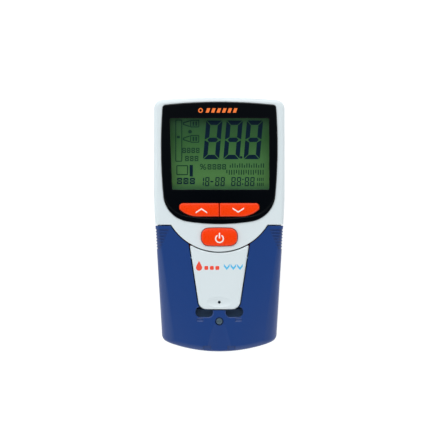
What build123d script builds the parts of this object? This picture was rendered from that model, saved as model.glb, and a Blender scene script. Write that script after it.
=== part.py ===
from build123d import *
import os
from math import atan2, cos, sin, sqrt

# Handheld glycated hemoglobin meter, lying on its back. Millimetres.
# +X is to the right, +Y towards the display end, +Z out of the display face.
# The origin is below the middle of the overall box, on the surface it stands on.

# Overall body
length = 143.3
width = 73.5
end_width = 64.8
taper_start = 14.0
taper_blend = 200.0
top_radius = 380.0
end_radius = 90.0
top_corner = 5.0
end_corner = 4.6
foot_height = 0.8
part_z = 15.0
face_z = 33.0
wall = 2.2
face_wall = 2.4
rim_radius = 2.2
rear_rim = 3.0
rear_inset = 0.3
parting_gap = 0.25
side_ease = 0.02

# Joint between the white upper shell and the blue lower cover
seam_y = -0.2
seam_gap = 0.6
apron_radius = 32.0
apron_y = 16.6
lip_width = 1.2
lip_reach = 2.0
lip_clearance = 0.3

# Blue lower cover: its face falls and rounds towards the slot end
end_face_z = 31.2
seam_crown = 0.15
end_crown = 4.0
end_edge = 10.0
least_edge = 0.8
end_rim = 3.0
groove_count = 7
groove_pitch = 1.7
groove_width = 0.8
groove_depth = 0.4
groove_first_y = -2.6
groove_reach = 8.4
groove_shorten = 0.85
groove_bottom_z = 18.5
channel_radius = 30.0
channel_start = -53.5
channel_depth = 1.15
notch_x = 6.9
notch_width = 4.4
notch_length = 3.4
notch_depth = 0.9
notch_fall = 1.0

# Sample lid, the white tongue
lid_top_half = 16.6
lid_top_y = -11.3
lid_low_half = 11.8
lid_low_y = -43.3
lid_end_y = -47.5
lid_corner = 4.7
lid_proud = 0.45
lid_wall = 2.4
lid_gap = 0.6
lid_edge = 0.9
lid_tip = 0.6
lid_bend_y = -44.7
lid_bend_middle = 0.16
lid_bend_drop = 0.55
lid_rim_width = 1.2
lid_rim_inset = 0.4
lid_rim_depth = 1.4
lid_overrun = 4.0
dimple_length = 14.6
dimple_width = 6.4
dimple_depth = 0.85
port_y = -43.6
port_radius = 0.85
port_tube_radius = 2.2
hinge_y = -18.6
hinge_depth = 1.75
pin_radius = 0.7
pin_length = 6.4
pin_fit = 0.05
pin_seat = 0.02
pin_end_gap = 0.2
knuckle_width = 2.6
knuckle_length = 3.2
knuckle_drop = 2.4
hinge_boss_width = 4.2
hinge_boss_margin = 0.2
well_start = -24.0
well_wall = 1.4
well_depth = 2.7

# Nail recesses beside the foot of the lid
recess_x = 8.5
recess_y = -49.1
recess_length = 9.8
recess_width = 5.8
oval_share = 0.45
recess_lip_depth = 0.5
recess_lip_slope = 50.0
# Finger scoop below each nail recess
scoop_x = 10.8
scoop_y = -53.5
scoop_length = 3.4
scoop_width = 2.0
scoop_depth = 0.35
scoop_fall = 0.33

# Screw that holds the cover to the cartridge tray
cover_screw_y = -54.4
cover_screw_bore = 2.3
cover_screw_head = 2.0
cover_screw_head_height = 1.3
cover_screw_shank = 1.0
cover_screw_shank_length = 3.6
cover_screw_sink = 1.3
cover_pad_radius = 3.6
cover_pad_gap = 1.0
cover_screw_edge = 0.4

# Display panel
panel_half = 32.7
panel_wide_y = 44.0
panel_side_radius = 300.0
panel_top_y = 69.0
panel_top_radius = 300.0
panel_bottom_y = 0.5
panel_bottom_radius = 134.0
panel_low_corner = 16.0
panel_top_corner = 1.8
panel_thickness = 1.5
panel_proud = 0.6
panel_edge = 0.45
panel_fit = 0.08
panel_step_rise = 3.3
panel_step_margin = 0.5
panel_step_depth = 0.2
window_left_top = -27.8
window_left_low = -26.4
window_right = 27.9
window_top_y = 59.8
window_low_y = 19.8
window_corner = 0.6
window_fit = 0.05
window_ledge = 1.0

# Display stack under the panel
glass_half = 29.4
glass_margin = 2.3
glass_thickness = 2.2
glass_gap = 0.3
backlight_half = 28.6
backlight_inset = 2.6
backlight_corner = 1.0
strip_width = 1.9
strip_half = 26.0
frame_wall = 1.0

# Main circuit board
board_z = 22.4
board_thickness = 1.6
board_half = 31.6
board_top_y = 68.1
board_low_y = -14.2
board_margin = 0.6
board_corner = 2.0
board_screw_x_top = 18.0
board_screw_y_top = 66.2
board_screw_x_low = 29.4
board_screw_y_low = 8.5
board_post_radius = 2.3
board_screw_radius = 1.0
board_screw_head_radius = 1.9
board_screw_head_height = 1.2
board_screw_length = 6.0
screw_seat = 0.03

# Keys
key_gap = 0.35
key_flange = 1.0
key_flange_height = 1.0
key_flange_gap = 0.3
key_edge = 0.8
plunger_half_length = 3.2
plunger_half_width = 2.2
pair_half = 22.4
pair_top_y = 12.1
pair_low_y = 4.7
pair_shoulder_y = 8.9
pair_arc_start = 12.0
pair_top_corner = 2.0
pair_shoulder_corner = 1.0
pair_divide = 0.4
pair_proud = 1.1
key_crown = 22.0
pair_dome_x = 11.4
pair_dome_y = 8.0
power_length = 20.1
power_width = 10.0
power_bow = 0.45
power_corner = 4.0
power_y = -6.8
power_proud = 1.5

# Silicone key mat
mat_half = 25.4
mat_low_y = -13.2
mat_top_y = 13.6
mat_corner = 2.0
mat_thickness = 1.0
dome_hole = 3.8
dome_foot = 4.4
dome_neck = 3.0
dome_skin = 0.55
dome_height = 2.3
dome_gap = 0.1
pill_radius = 2.0
pill_height = 1.7

# Cartridge tray and slot
tray_inside_half = 8.4
tray_inside_height = 5.4
tray_floor_z = 18.4
tray_wall = 1.4
tray_inner_end = -20.0
tray_outer_end = -69.2
tray_roof_start = -47.9
tray_flange_half = 13.6
tray_shade = 7.0
tray_post_x = 8.0
tray_post_y = -64.0
slot_margin = 0.3
slot_corner = 0.6

# Optics below the tray
optic_y = -35.0
optic_half_length = 10.0
optic_half_width = 9.0
optic_height = 6.8
optic_bore = 1.6
optic_corner = 1.5
emitter_x = 5.0
emitter_radius = 1.5
emitter_height = 3.0
emitter_dome = 1.2
optic_pitch = 6.0
sensor_pocket = 3.4
sensor_half = 1.3
sensor_height = 1.2
lens_half_length = 7.6
lens_half_width = 5.5
lens_seat = 0.05
sensor_board_half = 22.0
sensor_board_low_y = -56.0
sensor_board_top_y = -20.0
sensor_post_x = 19.4
sensor_post_inset = 3.0
switch_x = 5.0
switch_y = -50.0
switch_length = 6.0
switch_width = 3.0
switch_pin_radius = 0.8
switch_gap = 0.5

# Battery bay and door, open at the display end
cell_radius = 5.25
cell_length = 44.5
cell_nub_radius = 1.9
cell_nub_length = 1.0
cell_gap = 0.4
cell_count = 4
contact_thickness = 0.5
contact_bump = 0.6
spring_length = 4.0
spring_foot = 3.4
spring_tip = 2.2
spring_wire = 0.6
bay_slack = 0.5
bay_wall = 1.4
bay_lift = 0.4
contact_margin = 0.5
door_half = 23.0
door_start = 5.0
door_skin = 1.2
door_flange = 1.0
door_gap = 0.25
door_rail_height = 1.0
door_rail_reach = 0.9
door_rail_length = 10.0
door_rail_places = (14.0, 32.0, 50.0)
door_grip_y = 22.0
door_grip_radius = 11.0
door_grip_depth = 0.5
door_rib_count = 5
door_rib_pitch = 2.6
door_rib_width = 0.9
door_arrow_y = 42.0
door_arrow_width = 9.0

# Case screws, feet and sound holes
case_screw_top = (31.0, 66.4)
case_screw_low = (26.4, -61.6)
case_post_radius = 2.6
case_screw_radius = 1.1
case_screw_hole = 1.3
rear_post_radius = 3.4
case_screw_head = 2.1
case_screw_head_height = 1.6
case_screw_bore = 2.4
case_screw_sink = 5.0
case_screw_length = 16.0
case_hole_spare = 0.5
foot_radius = 3.6
foot_sink = 0.8
foot_top = (29.4, 50.0)
foot_low = (25.6, -47.0)
foot_edge = 0.3
foot_fit = 0.1
cross_width = 0.7
cross_depth = 0.8
case_cross = 3.0
cover_cross = 2.4
sound_x = 20.0
sound_y = -5.0
sound_radius = 0.6
sound_ring = 3.2
sound_count = 6
buzzer_mouth = 1.2
buzzer_radius = 6.0
buzzer_height = 4.5

# Parts on the main board's lower side
controller_x = -8.0
controller_y = 30.0
controller_size = 14.0
controller_height = 1.4
chip_chamfer = 0.3
memory_x = 14.0
memory_y = 32.0
memory_length = 8.0
memory_width = 6.0
crystal_x = -8.0
crystal_y = 16.0
crystal_length = 10.5
crystal_width = 4.5
crystal_height = 3.5
can_edge = 0.5
capacitor_y = 44.0
capacitor_pitch = 5.0
capacitor_count = 6
capacitor_width = 1.6
capacitor_length = 3.0
capacitor_height = 1.2

# Ribbon between the two boards
ribbon_x = -12.0
ribbon_top_y = -11.8
ribbon_low_y = -22.6
ribbon_turn_z = 16.6
ribbon_width = 8.0
ribbon_thickness = 0.4
ribbon_bend = 1.6
socket_depth = 3.0
socket_height = 2.0
socket_margin = 1.0

# Heights worked out from the sizes above
rear_z = foot_height
floor_z = rear_z + wall
front_z = part_z + parting_gap
under_face_z = face_z - face_wall
panel_seat_z = face_z + panel_proud - panel_thickness
panel_z = face_z + panel_proud
board_top_z = board_z + board_thickness
glass_top_z = under_face_z - glass_gap
glass_z = glass_top_z - glass_thickness
backlight_z = board_top_z + glass_gap
flange_z = under_face_z - key_flange_gap - key_flange_height
mat_z = board_top_z + mat_thickness
plunger_z = mat_z + dome_height + dome_gap
tray_z = tray_floor_z
tray_inside_z = tray_z + tray_wall
tray_roof_z = tray_inside_z + tray_inside_height
tray_top_z = tray_roof_z + tray_wall
optic_z = tray_z - optic_height
sensor_board_z = optic_z - board_thickness
cell_z = floor_z + bay_lift + cell_radius
bay_ceiling_z = cell_z + cell_radius + bay_lift
bay_half = door_half + door_flange + door_gap
bay_low_y = door_start - door_gap
bay_length = 2 * contact_thickness + spring_length + cell_length + contact_bump + bay_slack
bay_top_y = bay_low_y + bay_length
slot_end_y = -length / 2


def half_width(y):
    """Half the width of the body's outline at y."""
    slope = (width - end_width) / (2 * (taper_start + length / 2))
    return width / 2 - max(0.0, taper_start - y) * slope


def outline(inset=0.0, ease=0.0):
    """Plan outline of the whole body, drawn in by inset, its straight sides eased out by ease."""
    beyond = length / 2 + 2
    with BuildSketch() as plan:
        with Locations((0, length / 2 - top_radius)):
            Circle(top_radius)
        with Locations((0, end_radius - length / 2)):
            Circle(end_radius, mode=Mode.INTERSECT)
        with BuildLine():
            Polyline(
                (-width / 2 - ease, beyond),
                (-width / 2 - ease, taper_start),
                (-half_width(-beyond) - ease, -beyond),
                (half_width(-beyond) + ease, -beyond),
                (width / 2 + ease, taper_start),
                (width / 2 + ease, beyond),
                close=True,
            )
        make_face(mode=Mode.INTERSECT)
        fillet(plan.vertices().group_by(Axis.Y)[2], top_corner)
        fillet(plan.vertices().group_by(Axis.Y)[1], taper_blend)
        fillet(plan.vertices().group_by(Axis.Y)[0], end_corner)
        if inset:
            offset(amount=-inset)
    return plan.sketch


def cover_face_z(y, raised=0.0):
    """Height of the lower cover's middle at y."""
    along = (seam_y - y) / (seam_y - slot_end_y)
    return face_z + (end_face_z - face_z) * along + raised


def cover_section(y, inset=0.0, raised=0.0):
    """Cross-section of the lower cover at y: a crowned top with rounded edges."""
    along = (seam_y - y) / (seam_y - slot_end_y)
    half = half_width(y) - inset
    top = cover_face_z(y, raised) - inset
    rise = seam_crown + (end_crown - seam_crown) * along
    edge = max(rim_radius + (end_edge - rim_radius) * along - inset, least_edge)
    crown = (half * half + rise * rise) / (2 * rise)
    centre_z = top - crown
    edge_x = half - edge
    edge_z = centre_z + sqrt((crown - edge) ** 2 - edge_x**2)
    share = crown / (crown - edge)
    join = (edge_x * share, centre_z + (edge_z - centre_z) * share)
    lean = atan2(edge_z - centre_z, edge_x) / 2
    middle = (edge_x + edge * cos(lean), edge_z + edge * sin(lean))
    base = front_z - inset
    with BuildSketch(Plane(origin=(0, y, 0), x_dir=(1, 0, 0), z_dir=(0, -1, 0))) as section:
        with BuildLine():
            Polyline((-half, edge_z), (-half, base), (half, base), (half, edge_z))
            ThreePointArc((half, edge_z), middle, join)
            ThreePointArc(join, (0, top), (-join[0], join[1]))
            ThreePointArc((-join[0], join[1]), (-middle[0], middle[1]), (-half, edge_z))
        make_face()
    return section.sketch


def cover_block(inset=0.0, raised=0.0):
    """Solid block under the lower cover's face, from the seam to past the slot end."""
    with BuildPart() as block:
        near = cover_section(seam_y, inset, raised)
        far = cover_section(slot_end_y - 1, inset, raised)
        loft([near.faces()[0], far.faces()[0]], ruled=True)
    return block.part


def lid_outline(margin=0.0):
    """Plan outline of the sample lid, grown by margin."""
    slope = (lid_top_half - lid_low_half) / (lid_top_y - lid_low_y)
    above = lid_top_y + lid_overrun
    with BuildSketch() as plan:
        with BuildLine():
            Polyline(
                (-lid_top_half - lid_overrun * slope, above),
                (-lid_low_half + (lid_low_y - lid_end_y) * slope, lid_end_y),
                (lid_low_half - (lid_low_y - lid_end_y) * slope, lid_end_y),
                (lid_top_half + lid_overrun * slope, above),
                close=True,
            )
        make_face()
        fillet(plan.vertices().group_by(Axis.Y)[0], lid_corner)
        if margin:
            offset(amount=margin)
    return plan.sketch


def apron_disc(radius):
    """Disc whose lower arc is the apron's edge."""
    with BuildSketch() as disc:
        with Locations((0, apron_y)):
            Circle(radius)
    return disc.sketch


def upper_region(shift):
    """Everything on the white side of the seam, moved towards the blue side by shift."""
    with BuildSketch() as region:
        with Locations((0, length / 2 + seam_y - shift)):
            Rectangle(2 * width, length)
        add(apron_disc(apron_radius + shift))
    return region.sketch


def panel_outline(margin=0.0):
    """Plan outline of the display panel, grown by margin."""
    half = panel_half + margin
    top_y = panel_top_y + margin
    bottom_y = panel_bottom_y - margin
    side_radius = panel_side_radius + margin

    def side_x(y):
        return half - side_radius + sqrt(side_radius**2 - (y - panel_wide_y) ** 2)

    high_y = top_y - half**2 / (2 * (panel_top_radius + margin))
    low_y = bottom_y + half**2 / (2 * (panel_bottom_radius + margin))
    high = (side_x(high_y), high_y)
    low = (side_x(low_y), low_y)
    with BuildSketch() as plan:
        with BuildLine():
            ThreePointArc((-high[0], high[1]), (0, top_y), high)
            ThreePointArc(high, (half, panel_wide_y), low)
            ThreePointArc(low, (0, bottom_y), (-low[0], low[1]))
            ThreePointArc((-low[0], low[1]), (-half, panel_wide_y), (-high[0], high[1]))
        make_face()
        fillet(plan.vertices().group_by(Axis.Y)[-1], panel_top_corner + margin)
        fillet(plan.vertices().group_by(Axis.Y)[0], panel_low_corner + margin)
    return plan.sketch


def window_outline(margin=0.0):
    """Plan outline of the clear display window, grown by margin."""
    with BuildSketch() as plan:
        with BuildLine():
            Polyline(
                (window_left_top, window_top_y),
                (window_right, window_top_y),
                (window_right, window_low_y),
                (window_left_low, window_low_y),
                close=True,
            )
        make_face()
        fillet(plan.vertices(), window_corner)
        if margin:
            offset(amount=margin)
    return plan.sketch


def pair_key_outline(side, margin=0.0, divide=pair_divide / 2):
    """Plan outline of the up key (side -1) or the down key (side 1), grown by margin."""
    arc_radius = (pair_half - pair_arc_start) ** 2 + (pair_shoulder_y - pair_low_y) ** 2
    arc_radius /= 2 * (pair_shoulder_y - pair_low_y)
    arc_middle_x = (pair_half + pair_arc_start) / 2
    sag = sqrt(arc_radius**2 - (arc_middle_x - pair_arc_start) ** 2)
    arc_middle_y = pair_low_y + arc_radius - sag
    with BuildSketch() as plan:
        with BuildLine():
            Polyline(
                (side * pair_arc_start, pair_low_y),
                (0, pair_low_y),
                (0, pair_top_y),
                (side * pair_half, pair_top_y),
                (side * pair_half, pair_shoulder_y),
            )
            ThreePointArc(
                (side * pair_half, pair_shoulder_y),
                (side * arc_middle_x, arc_middle_y),
                (side * pair_arc_start, pair_low_y),
            )
        make_face()
        outer = plan.vertices().group_by(Axis.X)[-1 if side > 0 else 0].sort_by(Axis.Y)
        fillet(outer[1], pair_top_corner)
        outer = plan.vertices().group_by(Axis.X)[-1 if side > 0 else 0].sort_by(Axis.Y)
        fillet(outer[0], pair_shoulder_corner)
        if margin:
            offset(amount=margin)
        with Locations((-side * (width / 2 - divide), 0)):
            Rectangle(width, length, mode=Mode.SUBTRACT)
    return plan.sketch


def power_outline(margin=0.0):
    """Plan outline of the power key, grown by margin."""
    half = power_length / 2
    low = power_y - power_width / 2
    high = power_y + power_width / 2
    with BuildSketch() as plan:
        with BuildLine():
            ThreePointArc((-half, high - power_bow), (0, high), (half, high - power_bow))
            Line((half, high - power_bow), (half, low + power_bow))
            ThreePointArc((half, low + power_bow), (0, low), (-half, low + power_bow))
            Line((-half, low + power_bow), (-half, high - power_bow))
        make_face()
        fillet(plan.vertices(), power_corner)
        if margin:
            offset(amount=margin)
    return plan.sketch


def cell_x(index):
    """Middle of a battery cell, counted from the left."""
    pitch = 2 * cell_radius + cell_gap
    return (index - (cell_count - 1) / 2) * pitch


def spring_is_low(index):
    """The cells lie in alternate directions, so every second spring is at the low end."""
    return index % 2 == 0


hinge_z = cover_face_z(hinge_y, lid_proud) - hinge_depth
hinge_slope = (lid_top_half - lid_low_half) / (lid_top_y - lid_low_y)
hinge_half = lid_top_half - (lid_top_y - hinge_y) * hinge_slope
hinge_outer_x = hinge_half + lid_gap + hinge_boss_width
hinge_boss_x = hinge_half + lid_gap + hinge_boss_width / 2
knuckle_x = hinge_half - lid_rim_inset - knuckle_width / 2
lid_rim_z = cover_face_z(lid_end_y, lid_proud) - lid_wall - lid_rim_depth
well_z = cover_face_z(lid_end_y) - wall - well_depth
groove_middle_z = (groove_bottom_z + face_z + 1) / 2
groove_height = face_z + 1 - groove_bottom_z
notch_y = slot_end_y + notch_length
channel_end_y = slot_end_y - 1
channel_end_z = cover_face_z(channel_end_y) - channel_depth
dimple_radius = dimple_width**2 / (8 * dimple_depth) + dimple_depth / 2
dimple_axis_z = cover_face_z(port_y, lid_proud) - dimple_depth + dimple_radius
scoop_radius = scoop_width**2 / (8 * scoop_depth) + scoop_depth / 2
cover_pad_z = tray_top_z + cover_pad_gap
cover_head_z = cover_face_z(cover_screw_y) - cover_screw_sink - cover_screw_head_height
case_hole_top = rear_z + case_screw_sink + case_screw_length + case_hole_spare

door_ledge_z = rear_z + door_skin - door_gap
bay_middle_y = (bay_low_y + bay_top_y) / 2
glass_low_y = window_low_y - glass_margin
glass_top_y = window_top_y + glass_margin
glass_step_y = glass_low_y + strip_width
case_head_z = rear_z + case_screw_sink - case_screw_head_height
sensor_screw_low = optic_z - board_screw_length - glass_gap

case_screw_places = [
    (side * place[0], place[1]) for place in (case_screw_top, case_screw_low) for side in (-1, 1)
]
board_screw_places = [
    (-board_screw_x_top, board_screw_y_top),
    (board_screw_x_top, board_screw_y_top),
    (-board_screw_x_low, board_screw_y_low),
    (board_screw_x_low, board_screw_y_low),
]
sensor_post_places = [
    (side * sensor_post_x, y)
    for side in (-1, 1)
    for y in (sensor_board_low_y + sensor_post_inset, sensor_board_top_y - sensor_post_inset)
]
tray_post_places = [(-tray_post_x, tray_post_y), (tray_post_x, tray_post_y)]
foot_places = [(side * place[0], place[1]) for place in (foot_top, foot_low) for side in (-1, 1)]
dome_places = {
    "up": (-pair_dome_x, pair_dome_y),
    "down": (pair_dome_x, pair_dome_y),
    "power": (0.0, power_y),
}

# Room inside the white upper shell, less the posts that stay
with BuildPart() as upper_room:
    with BuildSketch(Plane.XY.offset(part_z - 1)):
        add(outline(wall))
    extrude(amount=under_face_z - part_z + 1)
    with BuildSketch(Plane.XY.offset(part_z - 1)):
        with Locations(*case_screw_places):
            Circle(case_post_radius)
    extrude(amount=face_z, mode=Mode.SUBTRACT)
    with BuildSketch(Plane.XY.offset(board_top_z)):
        with Locations(*board_screw_places):
            Circle(board_post_radius)
    extrude(amount=face_z, mode=Mode.SUBTRACT)

# White upper front shell with the apron around the power key
with BuildPart() as upper_front_shell:
    with BuildSketch(Plane.XY.offset(front_z)):
        add(outline())
    extrude(amount=face_z - front_z)
    fillet(upper_front_shell.faces().sort_by(Axis.Z)[-1].edges(), rim_radius)
    add(upper_room.part, mode=Mode.SUBTRACT)
    with BuildSketch(Plane.XY.offset(part_z)):
        add(upper_region(-seam_gap / 2))
    extrude(amount=face_z, mode=Mode.INTERSECT)
    # Lip that backs the seam from inside
    with BuildSketch(Plane.XY.offset(front_z + lip_width)) as lip:
        add(outline(wall + lip_clearance))
        add(outline(wall + lip_clearance + lip_width), mode=Mode.SUBTRACT)
        with Locations((0, seam_y)):
            Rectangle(2 * width, 2 * lip_reach, mode=Mode.INTERSECT)
    extrude(amount=under_face_z - 2 * lip_clearance - front_z - lip_width)
    with BuildSketch(Plane.XY.offset(front_z + lip_width)) as lip_root:
        add(outline(wall - lip_clearance))
        add(outline(wall + lip_clearance + lip_width), mode=Mode.SUBTRACT)
        with Locations((0, seam_y + seam_gap / 2 + lip_reach / 2)):
            Rectangle(2 * width, lip_reach, mode=Mode.INTERSECT)
    extrude(amount=under_face_z - front_z - lip_width)
    # Seat of the display panel, and the display opening below it
    with BuildSketch(Plane.XY.offset(panel_seat_z)):
        add(panel_outline(panel_fit))
    extrude(amount=face_z, mode=Mode.SUBTRACT)
    with BuildSketch(Plane.XY.offset(part_z)):
        add(window_outline(window_ledge))
        add(pair_key_outline(-1, key_gap, -key_gap))
        add(pair_key_outline(1, key_gap, -key_gap))
        add(power_outline(key_gap))
    extrude(amount=face_z, mode=Mode.SUBTRACT)
    # Screw holes
    with BuildSketch(Plane.XY.offset(part_z)):
        with Locations(*case_screw_places[:2]):
            Circle(case_screw_radius + screw_seat)
    extrude(amount=case_hole_top - part_z, mode=Mode.SUBTRACT)
    with BuildSketch(Plane.XY.offset(board_top_z)):
        with Locations(*board_screw_places):
            Circle(board_screw_radius + screw_seat)
    extrude(amount=board_screw_length - board_thickness + glass_gap, mode=Mode.SUBTRACT)

# Room inside the blue lower cover, less the posts, hinge bosses, lid well and screw pad that stay
with BuildPart() as cover_room:
    add(cover_block(wall - lip_clearance, -lip_clearance))
    with BuildSketch(Plane.XY.offset(part_z - wall)):
        add(outline(wall))
    extrude(amount=face_z, mode=Mode.INTERSECT)
    with BuildSketch(Plane.XY.offset(part_z - wall)):
        with Locations(*case_screw_places[2:]):
            Circle(case_post_radius)
    extrude(amount=face_z, mode=Mode.SUBTRACT)
    with BuildSketch(Plane.XY.offset(well_z)):
        add(lid_outline(lid_gap + well_wall))
        add(lid_outline(lid_gap), mode=Mode.SUBTRACT)
        with Locations((0, well_start - length / 2)):
            Rectangle(width, length, mode=Mode.INTERSECT)
    extrude(amount=face_z, mode=Mode.SUBTRACT)
    with BuildSketch(Plane.XY.offset(hinge_z - knuckle_drop)):
        with Locations((-hinge_boss_x, hinge_y), (hinge_boss_x, hinge_y)):
            Rectangle(hinge_boss_width, knuckle_length + 2 * hinge_boss_margin)
    extrude(amount=face_z, mode=Mode.SUBTRACT)
    with BuildSketch(Plane.XY.offset(cover_pad_z)):
        with Locations((0, cover_screw_y)):
            Circle(cover_pad_radius)
    extrude(amount=face_z, mode=Mode.SUBTRACT)

# Grooves of the finger grips, cut only as deep as a slightly smaller cover
with BuildPart() as grip_grooves:
    for index in range(groove_count):
        groove_y = groove_first_y - index * groove_pitch
        reach = groove_reach - index * groove_shorten
        with BuildSketch(Plane(origin=(0, groove_y, 0), x_dir=(1, 0, 0), z_dir=(0, -1, 0))):
            for side in (-1, 1):
                with Locations((side * (half_width(groove_y) + 1 - reach / 2), groove_middle_z)):
                    Rectangle(reach, groove_height)
        extrude(amount=groove_width)
    grip_core = cover_block(groove_depth)
    add(grip_core, mode=Mode.SUBTRACT)

# Blue lower front cover
with BuildPart() as lower_front_cover:
    add(cover_block())
    with BuildSketch(Plane.XY.offset(part_z)):
        add(outline(0, side_ease))
    extrude(amount=face_z, mode=Mode.INTERSECT)
    top_edges = lower_front_cover.edges().filter_by(lambda e: e.center().Z > face_z - end_edge)
    fillet(top_edges.filter_by(lambda e: e.center().Y < slot_end_y + end_edge), end_rim)
    add(cover_room.part, mode=Mode.SUBTRACT)
    with BuildSketch(Plane.XY.offset(part_z - 1)):
        add(upper_region(seam_gap / 2))
    extrude(amount=face_z, mode=Mode.SUBTRACT)
    add(grip_grooves.part, mode=Mode.SUBTRACT)
    # Opening for the sample lid and the nail recesses beside its foot
    with BuildSketch(Plane.XY.offset(part_z)):
        add(lid_outline(lid_gap))
    extrude(amount=face_z, mode=Mode.SUBTRACT)
    with BuildSketch(Plane.XY.offset(part_z)):
        with Locations((-recess_x, recess_y), (recess_x, recess_y)):
            RectangleRounded(recess_length, recess_width, recess_width * oval_share)
    extrude(amount=face_z, mode=Mode.SUBTRACT)
    with BuildSketch(Plane.XY.offset(cover_face_z(recess_y) - recess_lip_depth)):
        with Locations((-recess_x, recess_y), (recess_x, recess_y)):
            RectangleRounded(recess_length, recess_width, recess_width * oval_share)
    extrude(amount=2 * recess_lip_depth, taper=-recess_lip_slope, mode=Mode.SUBTRACT)
    for side in (-1, 1):
        with BuildSketch(Plane.YZ.offset(side * scoop_x)):
            with Locations((scoop_y, cover_face_z(scoop_y) - scoop_fall - scoop_depth + scoop_radius)):
                Circle(scoop_radius)
        extrude(amount=scoop_length / 2, both=True, mode=Mode.SUBTRACT)
    # Shallow trough from the screw down to the slot end, and the end notches with falling floors
    with BuildSketch(
        Plane(
            origin=(0, channel_start, cover_face_z(channel_start)),
            x_dir=(1, 0, 0),
            z_dir=(0, channel_end_y - channel_start, channel_end_z - cover_face_z(channel_start)),
        )
    ):
        with Locations((0, channel_radius)):
            Circle(channel_radius)
    extrude(amount=channel_start - channel_end_y, mode=Mode.SUBTRACT)
    for side in (-1, 1):
        with BuildSketch(Plane.YZ.offset(side * notch_x)):
            with BuildLine():
                Polyline(
                    (notch_y, face_z + 1),
                    (notch_y, cover_face_z(notch_y) - notch_depth),
                    (slot_end_y - 1, cover_face_z(notch_y) - notch_depth - notch_fall),
                    (slot_end_y - 1, face_z + 1),
                    close=True,
                )
            make_face()
        extrude(amount=notch_width / 2, both=True, mode=Mode.SUBTRACT)
    # Cartridge slot through the end wall
    with BuildSketch(Plane.XZ.offset(-tray_outer_end - slot_margin)):
        with Locations((0, tray_inside_z + tray_inside_height / 2)):
            RectangleRounded(
                2 * (tray_inside_half + tray_wall + slot_margin),
                tray_inside_height + 2 * (tray_wall + slot_margin),
                slot_corner,
            )
    extrude(amount=wall * 2, mode=Mode.SUBTRACT)
    # Screw holes
    with BuildSketch(Plane.XY.offset(part_z)):
        with Locations(*case_screw_places[2:]):
            Circle(case_screw_radius + screw_seat)
    extrude(amount=case_hole_top - part_z, mode=Mode.SUBTRACT)
    with BuildSketch(Plane.XY.offset(cover_head_z)):
        with Locations((0, cover_screw_y)):
            Circle(cover_screw_bore)
    extrude(amount=face_z, mode=Mode.SUBTRACT)
    with BuildSketch(Plane.XY.offset(part_z)):
        with Locations((0, cover_screw_y)):
            Circle(cover_screw_shank + key_gap)
    extrude(amount=face_z, mode=Mode.SUBTRACT)
    # Holes for the hinge pins
    with BuildSketch(Plane.YZ.offset(-hinge_outer_x)):
        with Locations((hinge_y, hinge_z)):
            Circle(pin_radius + pin_seat)
    extrude(amount=2 * hinge_outer_x, mode=Mode.SUBTRACT)

# Space under the sample lid's skin, inside its side rims
with BuildPart() as lid_room:
    add(cover_block(lid_wall, lid_proud))
    with BuildSketch(Plane.XY.offset(part_z - wall)) as rim_plan:
        add(lid_outline(-lid_rim_inset))
        add(lid_outline(-lid_rim_inset - lid_rim_width), mode=Mode.SUBTRACT)
        with Locations((0, well_start - length / 2)):
            Rectangle(width, length, mode=Mode.INTERSECT)
        with Locations((0, port_y)):
            Circle(port_tube_radius)
    extrude(amount=face_z, mode=Mode.SUBTRACT)
    with BuildSketch(Plane.XY.offset(part_z - wall)):
        with Locations((-knuckle_x, hinge_y), (knuckle_x, hinge_y)):
            Rectangle(knuckle_width, knuckle_length)
    extrude(amount=face_z, mode=Mode.SUBTRACT)

# Everything the lid may fill: its outline down to the feet of its rims and knuckles
with BuildPart() as lid_reach:
    with BuildSketch(Plane.XY.offset(lid_rim_z)):
        add(lid_outline())
    extrude(amount=face_z)
    with BuildSketch(Plane.XY.offset(hinge_z - knuckle_drop + lid_gap)):
        with Locations((-knuckle_x, hinge_y), (knuckle_x, hinge_y)):
            Rectangle(knuckle_width, knuckle_length)
    extrude(amount=face_z)

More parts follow.
